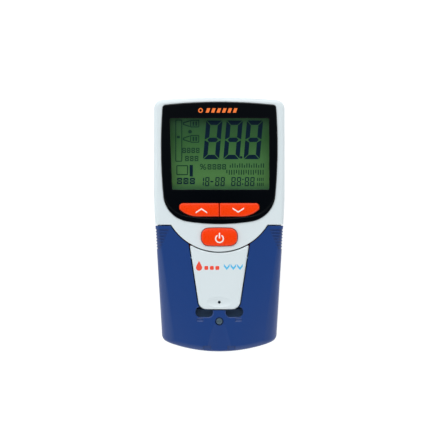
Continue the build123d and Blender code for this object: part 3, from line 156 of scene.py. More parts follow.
def metal(name, colour, roughness, grain, bump, stretch=(1.0, 1.0, 1.0)):
    """A plain metal: grain of that size in millimetres, drawn out by stretch."""
    material, tree = new_material(name)
    place = add(tree, "ShaderNodeTexCoord").outputs["Object"]
    drawn = add(tree, "ShaderNodeMapping", {"Scale": stretch}, {"Vector": place})
    # Drawing and turning leave lines of about 0.05 mm; they are drawn at the coarser size given, to show
    fine = add(tree, "ShaderNodeTexNoise", {"Scale": 1 / (grain * MM), "Detail": 3.0}, {"Vector": drawn})
    base = linear(colour)
    dulled, swing = 0.86, 0.07
    shade = add(
        tree,
        "ShaderNodeMix",
        {"data_type": "RGBA", "A": scaled(base, dulled), "B": base},
        {"Factor": fine},
    )
    rough = add(
        tree,
        "ShaderNodeMapRange",
        NOISE_RANGE | {"To Min": roughness - swing, "To Max": roughness + swing},
        {"Value": fine},
    )
    relief = add(tree, "ShaderNodeBump", {"Strength": bump, "Distance": GRAIN_DEPTH}, {"Height": fine})
    shader = add(
        tree,
        "ShaderNodeBsdfPrincipled",
        {"Metallic": 1.0},
        {"Base Color": shade, "Roughness": rough, "Normal": relief},
    )
    add(tree, "ShaderNodeOutputMaterial", links={"Surface": shader})
    return material


# Shells and covers


def spark_textured_white_abs(colours):
    """ABS moulded against a fine spark-eroded tool: a cool white with a soft, even sheen."""
    return moulded(
        "spark_textured_white_abs", colours.white, roughness=0.42, grain=0.7, bump=0.1, edge=0.25, tint=0.015
    )


def satin_blue_abs(colours):
    """ABS moulded in deep blue: satin, so its flanks pick up a pale sheen where they turn away."""
    return moulded(
        "satin_blue_abs", colours.blue, roughness=0.36, grain=0.7, bump=0.12, edge=0.3, tint=0.03
    )


def back_printed_acrylic(colours):
    """Black ink behind polished acrylic: nearly mirror smooth, with a faint wave from the moulding."""
    material, tree = new_material("back_printed_acrylic")
    place = add(tree, "ShaderNodeTexCoord").outputs["Object"]
    # The moulding's waves are really about this long
    wave = add(tree, "ShaderNodeTexNoise", {"Scale": 1 / (22 * MM), "Detail": 1.0}, {"Vector": place})
    # Real dust is 0.02 mm; its haze is drawn in 0.9 mm patches, to show
    dust = add(tree, "ShaderNodeTexNoise", {"Scale": 1 / (0.9 * MM), "Detail": 3.0}, {"Vector": place})
    rough = add(tree, "ShaderNodeMapRange", DUST_RANGE | {"To Min": 0.05, "To Max": 0.13}, {"Value": dust})
    backing = add(
        tree,
        "ShaderNodeMix",
        {"data_type": "RGBA", "A": linear("#020407"), "B": linear(colours.panel)},
        {"Factor": wave},
    )
    rounded = add(tree, "ShaderNodeBevel", {"samples": 4, "Radius": 0.3 * MM})
    relief = add(
        tree,
        "ShaderNodeBump",
        {"Strength": 0.04, "Distance": 0.1 * MM},
        {"Height": wave, "Normal": rounded},
    )
    shader = add(
        tree,
        "ShaderNodeBsdfPrincipled",
        {"IOR": 1.49},
        {"Base Color": backing, "Roughness": rough, "Normal": relief},
    )
    add(tree, "ShaderNodeOutputMaterial", links={"Surface": shader})
    return material


def polished_acrylic(name, roughness):
    """Clear polished acrylic: what is behind it shows unbent, under a weak reflection."""
    material, tree = new_material(name)
    place = add(tree, "ShaderNodeTexCoord").outputs["Object"]
    # The haze of fine dust is drawn in 1.2 mm patches, to show
    dust = add(tree, "ShaderNodeTexNoise", {"Scale": 1 / (1.2 * MM), "Detail": 2.0}, {"Vector": place})
    rough = add(
        tree,
        "ShaderNodeMapRange",
        DUST_RANGE | {"To Min": roughness, "To Max": roughness + 0.05},
        {"Value": dust},
    )
    # Only the outer side reflects
    edge = add(tree, "ShaderNodeFresnel", {"IOR": 1.49})
    side = add(tree, "ShaderNodeNewGeometry")
    outer = add(tree, "ShaderNodeMath", {"operation": "SUBTRACT", 0: 1.0}, {1: side.outputs["Backfacing"]})
    share = add(tree, "ShaderNodeMath", {"operation": "MULTIPLY"}, {0: edge, 1: outer})
    clear = add(tree, "ShaderNodeBsdfTransparent", {"Color": (0.97, 0.985, 0.98, 1.0)})
    gloss = add(tree, "ShaderNodeBsdfGlossy", {"Color": (1, 1, 1, 1)}, {"Roughness": rough})
    shader = add(tree, "ShaderNodeMixShader", links={0: share, 1: clear, 2: gloss})
    add(tree, "ShaderNodeOutputMaterial", links={"Surface": shader})
    return material


def segment_display_glass(colours):
    """Etched segment glass over a reflector: grey-green and matt, with painted shade of the window's frame
    darkening it near its upper edge and its foot.
    """
    material, tree = new_material("segment_display_glass")
    place = add(tree, "ShaderNodeTexCoord").outputs["Object"]
    axes = add(tree, "ShaderNodeSeparateXYZ", links={"Vector": place})
    low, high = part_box("display_window")
    height = add(
        tree,
        "ShaderNodeMapRange",
        {"From Min": low.y, "From Max": high.y},
        {"Value": axes.outputs["Y"]},
    )
    # Painted shade and light: dark near the upper edge and the foot, where the window's frame shades the
    # display, lightest just above the foot
    ramp = add(tree, "ShaderNodeValToRGB", links={"Fac": height})
    stops = ramp.color_ramp.elements
    stops[0].color = linear(colours.display_foot_painted_shade)
    stops[1].color = linear(colours.display_top_painted_shade)
    for position, colour in (
        (0.1, colours.display_bright),
        (0.4, colours.display_low),
        (0.72, colours.display_middle),
        (0.94, colours.display_painted_shade),
    ):
        stops.new(position).color = linear(colour)
    # The reflector's uneven patches are really about this wide
    cloud = add(tree, "ShaderNodeTexNoise", {"Scale": 1 / (9 * MM), "Detail": 2.0}, {"Vector": place})
    patch = add(
        tree,
        "ShaderNodeMapRange",
        NOISE_RANGE | {"To Min": 0.95, "To Max": 1.05},
        {"Value": cloud},
    )
    tinted = add(tree, "ShaderNodeVectorMath", {"operation": "SCALE"}, {0: ramp, "Scale": patch})
    # The reflector's real grain is 0.03 mm; it is drawn at 0.8 mm, to show
    speck = add(tree, "ShaderNodeTexNoise", {"Scale": 1 / (0.8 * MM), "Detail": 2.0}, {"Vector": place})
    rough = add(
        tree,
        "ShaderNodeMapRange",
        NOISE_RANGE | {"To Min": 0.42, "To Max": 0.52},
        {"Value": speck},
    )
    shader = add(
        tree,
        "ShaderNodeBsdfPrincipled",
        {"IOR": 1.45, "Specular IOR Level": 0.15},
        {"Base Color": tinted, "Roughness": rough},
    )
    add(tree, "ShaderNodeOutputMaterial", links={"Surface": shader})
    return material


def semi_gloss_orange_abs(colours):
    """ABS moulded in signal orange with a semi-gloss face, so the crowned edges catch a light line."""
    return moulded(
        "semi_gloss_orange_abs",
        colours.orange,
        roughness=0.3,
        grain=0.8,
        bump=0.02,
        edge=0.25,
        tint=0.01,
        shine=0.3,
    )


def ink(name, colour):
    """Screen-printed ink: flat, slightly uneven in thickness, with a soft sheen."""
    return moulded(name, colour, roughness=0.45, grain=0.5, bump=0.08, edge=0.02, tint=0.05)


def liquid_crystal(name, colour):
    """Switched segments inside the glass: dark and even, with almost no gloss of their own."""
    return moulded(name, colour, roughness=0.5, grain=0.6, bump=0.02, edge=0.01, tint=0.08, shine=0.04)


# Parts inside and below


def matt_dark_abs():
    """Dark ABS moulded matt, as inside an optical path: it takes the light and shows little sheen."""
    return moulded("matt_dark_abs", "#262E2F", roughness=0.6, grain=0.6, bump=0.2, tint=0.08)


def slate_blue_abs():
    """ABS moulded matt in slate blue: dull in the recesses' shade, with a soft face where light falls."""
    return moulded("slate_blue_abs", "#446285", roughness=0.55, grain=0.6, bump=0.2, tint=0.06)


def moulded_silicone():
    """Silicone pigmented like the keys it carries and moulded matt: soft-looking, with no clear highlight."""
    return moulded("moulded_silicone", "#D0350F", roughness=0.62, grain=0.5, bump=0.15, ior=1.41)


def carbon_rubber():
    """Carbon-filled silicone: dull black."""
    return moulded("carbon_rubber", "#111213", roughness=0.7, grain=0.4, bump=0.2, ior=1.45)


def pressed_foot_rubber():
    """Rubber pressed in a mould: near-black and dull, with a fine grain."""
    return moulded("pressed_foot_rubber", "#191A1B", roughness=0.66, grain=0.5, bump=0.25, ior=1.5)


def frosted_light_guide():
    """Milky acrylic with a frosted face that spreads light."""
    return moulded("frosted_light_guide", "#D9DED4", roughness=0.35, grain=0.5, bump=0.1, ior=1.49)


def solder_masked_laminate():
    """Green solder mask over woven glass fibre: glossy, with the weave just showing as squares."""
    material, tree = new_material("solder_masked_laminate")
    place = add(tree, "ShaderNodeTexCoord").outputs["Object"]
    mask = linear("#0E4A27")
    # The cloth's real pitch is 0.4 mm; it is drawn at 1 mm, to show
    weave = add(
        tree,
        "ShaderNodeTexChecker",
        {"Scale": 1 / (1.0 * MM), "Color1": mask, "Color2": linear("#115229")},
        {"Vector": place},
    )
    # A brick is 4.5 mm long and 2.25 mm high, and stands for an area of copper between tracks
    brick = add(tree, "ShaderNodeTexBrick", {"Scale": 1 / (9 * MM), "Mortar Size": 0.03}, {"Vector": place})
    tracks = brick.outputs["Fac"]
    copper = add(
        tree,
        "ShaderNodeMix",
        {"data_type": "RGBA", "A": mask, "B": linear("#1B6E3C")},
        {"Factor": tracks},
    )
    shade = add(
        tree,
        "ShaderNodeMix",
        {"data_type": "RGBA", "blend_type": "ADD", "Factor": 0.5},
        {"A": weave, "B": copper},
    )
    relief = add(tree, "ShaderNodeBump", {"Strength": 0.2, "Distance": 0.03 * MM}, {"Height": tracks})
    shader = add(
        tree,
        "ShaderNodeBsdfPrincipled",
        {"Roughness": 0.3, "IOR": 1.5},
        {"Base Color": shade, "Normal": relief},
    )
    add(tree, "ShaderNodeOutputMaterial", links={"Surface": shader})
    return material


def moulded_epoxy():
    """Black filled epoxy of a chip package: matt with a fine grit."""
    return moulded("moulded_epoxy", "#141415", roughness=0.55, grain=0.3, bump=0.25, edge=0.1)


def fired_ceramic():
    """Tan fired ceramic of a chip capacitor: even and slightly dull."""
    return moulded("fired_ceramic", "#A98A66", roughness=0.5, grain=0.3, bump=0.15, edge=0.1)


def clear_cast_epoxy():
    """Cast epoxy of a lamp: clear in truth, and drawn as a pale blue-grey with a sharp gloss."""
    return moulded("clear_cast_epoxy", "#CBD8E2", roughness=0.12, grain=0.8, bump=0.03, edge=0.1, ior=1.55)


def natural_nylon():
    """Undyed nylon: a warm off-white, waxy."""
    return moulded("natural_nylon", "#DED6BE", roughness=0.45, grain=0.6, bump=0.1, edge=0.15)


def drawn_nickel_can():
    """Nickel-plated drawn can: bright with a faint draw grain."""
    return metal("drawn_nickel_can", "#BDBBB4", roughness=0.3, grain=0.4, bump=0.05)


def zinc_plated_steel():
    """Blue-passivated zinc on turned steel: a cool blue-grey with a cloudy sheen."""
    return metal("zinc_plated_steel", "#8CA6B6", roughness=0.5, grain=0.5, bump=0.12)


def nickel_spring_steel():
    """Nickel-plated spring wire and strip: bright, drawn along its length."""
    return metal(
        "nickel_spring_steel", "#C6C3BA", roughness=0.26, grain=0.5, bump=0.06, stretch=(1.0, 0.15, 1.0)
    )


def printed_cell_jacket():
    """Shrunk film jacket of a battery cell: plain blue-grey with a copper band at its raised end."""
    material, tree = new_material("printed_cell_jacket")
    place = add(tree, "ShaderNodeTexCoord").outputs["Object"]
    axes = add(tree, "ShaderNodeSeparateXYZ", links={"Vector": place})
    low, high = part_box("battery_cells")
    cells = 4
    pitch = (high.x - low.x - (high.z - low.z)) / (cells - 1)
    column = add(
        tree,
        "ShaderNodeMath",
        {"operation": "MULTIPLY_ADD", 1: 1 / pitch, 2: cells / 2},
        {0: axes.outputs["X"]},
    )
    index = add(tree, "ShaderNodeMath", {"operation": "FLOOR"}, {0: column})
    odd = add(tree, "ShaderNodeMath", {"operation": "MODULO", 1: 2.0}, {0: index})
    # The cells lie head to tail, so every second one has its band at the lower end
    upper = add(tree, "ShaderNodeMath", {"operation": "GREATER_THAN", 1: 40 * MM}, {0: axes.outputs["Y"]})
    lower = add(tree, "ShaderNodeMath", {"operation": "LESS_THAN", 1: 20 * MM}, {0: axes.outputs["Y"]})
    band = add(tree, "ShaderNodeMix", {"data_type": "FLOAT"}, {"Factor": odd, "A": upper, "B": lower})
    shade = add(
        tree,
        "ShaderNodeMix",
        {"data_type": "RGBA", "A": linear("#2B3946"), "B": linear("#B4773F")},
        {"Factor": band},
    )
    # Rubbed patches are really about this wide
    wear = add(tree, "ShaderNodeTexNoise", {"Scale": 1 / (2 * MM), "Detail": 3.0}, {"Vector": place})
    rough = add(tree, "ShaderNodeMapRange", NOISE_RANGE | {"To Min": 0.22, "To Max": 0.36}, {"Value": wear})
    shader = add(
        tree,
        "ShaderNodeBsdfPrincipled",
        {"Metallic": 0.35},
        {"Base Color": shade, "Roughness": rough},
    )
    add(tree, "ShaderNodeOutputMaterial", links={"Surface": shader})
    return material


def polyester_ribbon():
    """Polyester film with tinned conductors: fine bright lines along the ribbon."""
    material, tree = new_material("polyester_ribbon")
    place = add(tree, "ShaderNodeTexCoord").outputs["Object"]
    # A wave of scale 1 repeats every pi / 10; the real pitch is 1 mm, drawn at nearly 2 mm, to show
    pitch = 1.974 * MM
    lines = add(
        tree,
        "ShaderNodeTexWave",
        {"bands_direction": "X", "Scale": math.pi / 10 / pitch},
        {"Vector": place},
    )
    shade = add(
        tree,
        "ShaderNodeMix",
        {"data_type": "RGBA", "A": linear("#D8D2B4"), "B": linear("#A9ABA6")},
        {"Factor": lines.outputs["Fac"]},
    )
    shader = add(tree, "ShaderNodeBsdfPrincipled", {"Roughness": 0.32, "IOR": 1.57}, {"Base Color": shade})
    add(tree, "ShaderNodeOutputMaterial", links={"Surface": shader})
    return material


# Shapes in millimetres: each is a list of closed outlines that cross nowhere; one inside another is a hole


def on_circle(x, y, radius, degrees):
    """The point at that angle on a circle around x, y."""
    angle = math.radians(degrees)
    return (x + radius * math.cos(angle), y + radius * math.sin(angle))


def arc(x, y, radius, start, end, steps):
    """Points along a round stretch from start to end in degrees, with both ends."""
    return [on_circle(x, y, radius, start + (end - start) * step / steps) for step in range(steps + 1)]


def bar(left, low, right, high):
    """A rectangle."""
    return [[(left, low), (right, low), (right, high), (left, high)]]


def rounded_bar(left, low, right, high, radius, steps=5):
    """A rectangle with round corners."""
    corners = (
        (right - radius, high - radius, 0),
        (left + radius, high - radius, 90),
        (left + radius, low + radius, 180),
        (right - radius, low + radius, 270),
    )
    return [[point for x, y, start in corners for point in arc(x, y, radius, start, start + 90, steps)]]


def border(left, low, right, high, radius, line):
    """The line around a rounded rectangle."""
    sharpest = 0.05
    inner = max(radius - line, sharpest)
    hole = rounded_bar(left + line, low + line, right - line, high - line, inner)
    return rounded_bar(left, low, right, high, radius) + hole


def disc(x, y, radius, steps=28):
    """A round spot."""
    return [arc(x, y, radius, 0, 360, steps)[:-1]]


def ring(x, y, radius, line):
    """A round line."""
    return disc(x, y, radius) + disc(x, y, radius - line)


def arc_line(x, y, radius, line, start, end, steps=36):
    """A stretch of a round line with round ends, from start to end in degrees."""
    outer = arc(x, y, radius, start, end, steps)
    inner = arc(x, y, radius - line, end, start, steps)
    caps = []
    for tip, turn in ((end, end), (start, start + 180)):
        middle = on_circle(x, y, radius - line / 2, tip)
        caps.append(arc(*middle, line / 2, turn, turn + 180, 6)[1:-1])
    return [outer + caps[0] + inner + caps[1]]


def chevron(x, y, half_width, rise, line):
    """An open arrow head with its tip at x, y, its feet below it where rise is positive."""
    across = line * math.hypot(half_width, rise) / half_width
    side = math.copysign(across, rise)
    return [
        [
            (x, y),
            (x + half_width, y - rise),
            (x + half_width, y - rise - side),
            (x, y - side),
            (x - half_width, y - rise - side),
            (x - half_width, y - rise),
        ]
    ]


def drop(x, y, radius, height, steps=20):
    """A drop: a round belly centred at x, y, with a tip that height above its foot."""
    tip = height - radius
    lean = math.degrees(math.asin(radius / tip))
    return [[(x, y + tip)] + arc(x, y, radius, 180 - lean, 360 + lean, steps)]


def slanted(outlines, slope, base):
    """Outlines leaned to the right by slope above base."""
    return [[(x + (y - base) * slope, y) for x, y in outline] for outline in outlines]


def segment_digit(left, low, width, height, line, gap, lit="abcdefg"):
    """A seven-segment digit: each segment has bevelled ends that leave a gap to the next."""
    right, top, middle = left + width, low + height, low + height / 2
    half, blunt, bevel = line / 2, line * 0.1, line + gap * 0.6
    upper = [
        (left + gap, top),
        (left + line + gap, top - line),
        (right - line - gap, top - line),
        (right - gap, top),
    ]
    upper_left = [
        (left, top - gap),
        (left + line, top - line - gap),
        (left + line, middle + half + gap),
        (left + blunt, middle + gap),
        (left, middle + gap),
    ]
    centre = [
        (left + half + gap, middle),
        (left + bevel, middle + half),
        (right - bevel, middle + half),
        (right - half - gap, middle),
        (right - bevel, middle - half),
        (left + bevel, middle - half),
    ]
    lower_left = [(x, low + top - y) for x, y in upper_left]
    shapes = {
        "a": upper,
        "b": [(left + right - x, y) for x, y in upper_left],
        "c": [(left + right - x, y) for x, y in lower_left],
        "d": [(x, low + top - y) for x, y in upper],
        "e": lower_left,
        "f": upper_left,
        "g": centre,
    }
    return [shapes[segment] for segment in lit]


def put_in_scene(name, data):
    """A new object with that data, in the scene."""
    item = bpy.data.objects.new(name, data)
    bpy.context.scene.collection.objects.link(item)
    return item


def make_piece(name, shape, material, body=RIGID):
    """An object from a finished bmesh, riding on a body."""
    bmesh.ops.recalc_face_normals(shape, faces=shape.faces)
    mesh = bpy.data.meshes.new(name)
    shape.to_mesh(mesh)
    shape.free()
    mesh.materials.append(material)
    piece = put_in_scene(name, mesh)
    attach(piece, body)
    return piece


def lay_on(name, shapes, node, material, longest=2.0, body=RIGID):
    """A thin printed film of those shapes, laid on the upper surface of a CAD node.

    No edge of the film is over the longest, in millimetres, so that it follows a curved surface."""
    thickness, lift, above, rounds = 0.01 * MM, 0.002 * MM, 1.0, 6
    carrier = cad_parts[node].data
    ground = BVHTree.FromPolygons(
        [vertex.co for vertex in carrier.vertices],
        [polygon.vertices for polygon in carrier.polygons],
    )
    film = bmesh.new()
    for outlines in shapes:
        loops = [[Vector((x * MM, y * MM, 0.0)) for x, y in outline] for outline in outlines]
        corners = [film.verts.new(point) for loop in loops for point in loop]
        for triangle in tessellate_polygon(loops):
            film.faces.new([corners[index] for index in triangle])
    for _ in range(rounds):
        long_edges = [edge for edge in film.edges if edge.calc_length() > longest * MM]
        if not long_edges:
            break
        bmesh.ops.subdivide_edges(film, edges=long_edges, cuts=1)
        bmesh.ops.triangulate(film, faces=[face for face in film.faces if len(face.verts) > 3])
    for vertex in film.verts:
        hit = ground.ray_cast(Vector((vertex.co.x, vertex.co.y, above)), Vector((0, 0, -1)))
        if hit[0] is None:
            raise RuntimeError(f"{name} runs off {node}")
        vertex.co.z = hit[0].z + lift
    grown = bmesh.ops.extrude_face_region(film, geom=list(film.faces))
    for item in grown["geom"]:
        if isinstance(item, bmesh.types.BMVert):
            item.co.z += thickness
    return make_piece(name, film, material, body)


def paint(nodes, material):
    """Gives CAD nodes a material."""
    for node in nodes:
        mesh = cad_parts[node].data
        mesh.materials.clear()
        mesh.materials.append(material)


class MeterColours(bpy.types.PropertyGroup):
    """Colours of the housing, the keys and the display."""

    white: StringProperty(name="Housing", description="Upper shell, rear shell and lid", default="#DAE2E5")
    blue: StringProperty(name="Lower cover", description="Blue lower front cover", default="#0E3879")
    orange: StringProperty(name="Keys", description="The three keys", default="#F63D02")
    panel: StringProperty(name="Display panel", description="Ink behind the acrylic", default="#03060B")
    # The display's colours from its upper edge to its foot: painted shade of the window's frame at the top
    # and foot, painted light just above the foot
    display_top_painted_shade: StringProperty(name="Display, top", description="Upper edge", default="#2F5536")
    display_painted_shade: StringProperty(name="Display, shade", description="Below the edge", default="#335837")
    display_middle: StringProperty(name="Display, middle", description="Upper half", default="#355F32")
    display_low: StringProperty(name="Display, low", description="Lower half", default="#4B7643")
    display_bright: StringProperty(name="Display, bright", description="Above the foot", default="#568248")
    display_foot_painted_shade: StringProperty(name="Display, foot", description="Lower edge", default="#416B46")
    segments: StringProperty(name="Segments", description="Large lit segments", default="#061D31")
    faint: StringProperty(name="Small marks", description="Small display marks", default="#14332C")


class DisplayLayout(bpy.types.PropertyGroup):
    """Sizes and places of the large digits, in millimetres from the meter's middle."""

    digit_height: FloatProperty(name="Digit height", description="Large digits", default=21.8, min=5)
    digit_width: FloatProperty(name="Digit width", description="Large digits", default=9.1, min=2)
    digit_pitch: FloatProperty(name="Digit pitch", description="Large digits", default=11.45, min=3)
    digit_line: FloatProperty(name="Segment width", description="Large digits", default=2.45, min=0.3)
    digit_left: FloatProperty(name="Digit left", description="Lower left of the first digit", default=-9.2)
    digit_low: FloatProperty(name="Digit foot", description="Foot of the digits", default=37.0)
    slope: FloatProperty(name="Slope", description="Lean of the digits to the right", default=0.087)


class StudioLook(bpy.types.PropertyGroup):
    """Camera and light."""

    camera_place: FloatVectorProperty(
        name="Camera",
        description="Place of the camera",
        default=(0.00011, 0.00299, 0.619),
        subtype="TRANSLATION",
    )
    face_view: FloatProperty(
        name="View width",
        description="Width that the picture covers at the face",
        default=0.2464,
        unit="LENGTH",
    )
    face_height: FloatProperty(
        name="Face height",
        description="Height of the face",
        default=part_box("upper_front_shell")[1].z,
        unit="LENGTH",
    )
    sky: FloatProperty(name="Sky", description="Strength of the soft light all round", default=1.2, min=0)
    overhead: FloatProperty(name="Overhead", description="Strength straight above", default=0.05, min=0)
    mirrored: FloatProperty(
        name="Mirrored",
        description="Strength at the horizon, as gloss shows it",
        default=0.85,
        min=0,
    )


class METER_OT_shells(bpy.types.Operator):
    """Finishes the shells, the cover, the lid and the battery door"""

    bl_idname = "meter.shells"
    bl_label = "Shells"

    def execute(self, context):
        colours = context.scene.meter_colours
        white = ("upper_front_shell", "rear_shell", "battery_door", "sample_lid")
        paint(white, spark_textured_white_abs(colours))
        paint(("lower_front_cover",), satin_blue_abs(colours))
        return {"FINISHED"}


class METER_OT_panel(bpy.types.Operator):
    """Finishes the display panel, its window and the display behind it"""

    bl_idname = "meter.panel"
    bl_label = "Display panel"

    def execute(self, context):
        colours = context.scene.meter_colours
        paint(("display_panel",), back_printed_acrylic(colours))
        paint(("display_window",), polished_acrylic("polished_window_acrylic", 0.02))
        paint(("display_glass",), segment_display_glass(colours))
        return {"FINISHED"}


class METER_OT_segments(bpy.types.Operator):
    """Makes the segments and small marks that the display shows"""

    bl_idname = "meter.segments"
    bl_label = "Display segments"

    def execute(self, context):
        colours = context.scene.meter_colours
        layout = context.scene.meter_display
        lit = liquid_crystal("switched_segments", colours.segments)
        fine = liquid_crystal("fine_segments", colours.faint)
        for name, shapes, material in (
            ("large_digits", self.large_digits(layout), lit),
            ("clock_digits", self.clock_digits(), lit),
            ("battery_bar", [bar(-16.7, 27.2, -14.9, 33.7)], lit),
            ("left_icons", self.left_icons(), fine),
            ("scale_ticks", self.scale_ticks(), fine),
        ):
            lay_on(name, shapes, "display_glass", material)
        return {"FINISHED"}

    def large_digits(self, layout):
        """Three large digits with every segment on, and the point before the last."""
        gap, foot = 0.3, layout.digit_low
        size = (layout.digit_width, layout.digit_height, layout.digit_line)
        shapes = [disc(12.3, 38.0, 0.75, steps=12)]
        for index in range(3):
            left = layout.digit_left + index * layout.digit_pitch
            shapes.append(slanted(segment_digit(left, foot, *size, gap), layout.slope, foot))
        return shapes

    def clock_digits(self):
        """The row of small digits along the foot, with a dash and a colon, and bold digits beside it."""
        foot, height, line, gap, slope = 21.8, 5.1, 0.62, 0.08, 0.06
        shapes = [
            bar(-5.2, 24.0, -3.5, 24.75),
            disc(13.1, 25.6, 0.45, steps=10),
            disc(13.1, 23.0, 0.45, steps=10),
            segment_digit(-11.1, foot, 2.3, height, line, gap, "bc"),
        ]
        for width, places in ((2.3, (-8.1, -2.4, 0.6)), (2.4, (6.6, 9.7, 14.2, 17.3))):
            for left in places:
                shapes.append(segment_digit(left, foot, width, height, line, gap))
        shapes = [slanted(shape, slope, foot) for shape in shapes]
        bold_foot, bold_slope = 22.9, 0.03
        for left in (-23.9, -20.3, -16.7):
            digit = segment_digit(left, bold_foot, 2.9, 3.6, 0.85, 0.05)
            shapes.append(slanted(digit, bold_slope, bold_foot))
        return shapes

    def left_icons(self):
        """A cartridge, two bottles and a spot between them, two rows of digits and a battery, at the left."""
        shapes = [
            border(-24.8, 35.6, -20.9, 59.3, 0.6, 0.5),
            rounded_bar(-23.9, 48.8, -22.2, 50.2, 0.4),
            disc(-16.5, 52.5, 1.05, steps=14),
            border(-24.2, 28.0, -17.6, 33.6, 0.6, 0.55),
        ]
        for low in (54.9, 46.3):
            shapes += [
                border(-16.4, low, -11.3, low + 4.3, 0.5, 0.55),
                [
                    [
                        (-20.5, low + 1.45),
                        (-16.6, low + 0.25),
                        (-16.6, low + 0.85),
                        (-19.8, low + 1.85),
                        (-19.8, low + 2.45),
                        (-16.6, low + 3.45),
                        (-16.6, low + 4.05),
                        (-20.5, low + 2.85),
                    ]
                ],
                bar(-15.1, low + 0.95, -14.1, low + 3.35),
                bar(-13.5, low + 0.95, -12.5, low + 3.35),
            ]
        height, line, gap = 2.9, 0.52, 0.05
        for first, low, pitch, width, count in ((-20.8, 40.5, 2.55, 1.95, 4), (-19.3, 35.9, 2.7, 2.05, 3)):
            for column in range(count):
                shapes.append(segment_digit(first + column * pitch, low, width, height, line, gap))
        return shapes

    def scale_ticks(self):
        """A percent sign, four digits and rows of plain ticks, below and beside the large digits."""
        shapes = [
            ring(-10.1, 33.5, 0.85, 0.42),
            ring(-8.2, 31.9, 0.85, 0.42),
            [[(-10.7, 31.2), (-10.15, 31.2), (-7.7, 34.2), (-8.25, 34.2)]],
        ]
        for column in range(4):
            shapes.append(segment_digit(-6.6 + column * 2.75, 31.2, 2.15, 3.0, 0.55, 0.05))
        tick, small_tick = 0.55, 0.5
        for index in range(15):
            left = 5.9 + index * 1.34
            shapes.append(bar(left, 32.2, left + tick, 34.6 if index % 3 else 33.7))
        for index in range(16):
            left = 4.0 + index * 1.36
            shapes.append(bar(left, 28.2 if index % 4 else 29.0, left + tick, 31.0))
        for low in (24.6, 21.9):
            for index in range(4):
                left = 21.3 + index * 1.05
                shapes.append(bar(left, low, left + small_tick, low + 1.9))
        return shapes


class METER_OT_keys(bpy.types.Operator):
    """Finishes the three keys and prints their symbols"""

    bl_idname = "meter.keys"
    bl_label = "Keys"

    def execute(self, context):
        colours = context.scene.meter_colours
        paint(("up_key", "down_key", "power_key"), semi_gloss_orange_abs(colours))
        white = ink("white_key_ink", "#F7EAE6")
        power = [arc_line(0.1, -7.75, 2.5, 0.72, 129, 411), rounded_bar(-0.28, -7.7, 0.48, -4.4, 0.37)]
        for key, symbol in (
            ("up", [chevron(-10.0, 9.35, 3.2, 2.1, 0.68)]),
            ("down", [chevron(10.6, 6.75, 3.2, -2.1, 0.68)]),
            ("power", power),
        ):
            node = key + "_key"
            lay_on(key + "_symbol", symbol, node, white, longest=0.7, body=node)
        return {"FINISHED"}


class METER_OT_marks(bpy.types.Operator):
    """Prints the plain coloured marks on the display panel and on the lid"""

    bl_idname = "meter.marks"
    bl_label = "Printed marks"

    def execute(self, context):
        orange = ink("orange_panel_ink", "#F4762A")
        red = ink("red_lid_ink", "#EE4B34")
        sky_blue = ink("sky_blue_lid_ink", "#4DB9E6")
        panel = [ring(-10.5, 64.15, 1.35, 0.6)]
        low, high, width, slope = 62.9, 65.4, 1.8, 0.35
        for index in range(6):
            left = -7.7 + index * 3.05
            panel.append(slanted(bar(left, low, left + width, high), slope, low))
        lay_on("panel_stripes", panel, "display_panel", orange)
        lid_red = [drop(-11.4, -24.0, 1.75, 5.6)]
        lid_blue = []
        side, corner = 2.2, 0.6
        for index in range(3):
            left, foot = -8.4 + index * 3.1, -25.3
            lid_red.append(rounded_bar(left, foot, left + side, foot + side, corner))
            lid_blue.append(chevron(4.2 + index * 3.7, -25.4, 1.6, -2.0, 0.9))
        for name, shapes, colour in (("lid_drop", lid_red, red), ("lid_arrows", lid_blue, sky_blue)):
            lay_on(name, shapes, "sample_lid", colour, longest=1.0, body="sample_lid")
        return {"FINISHED"}


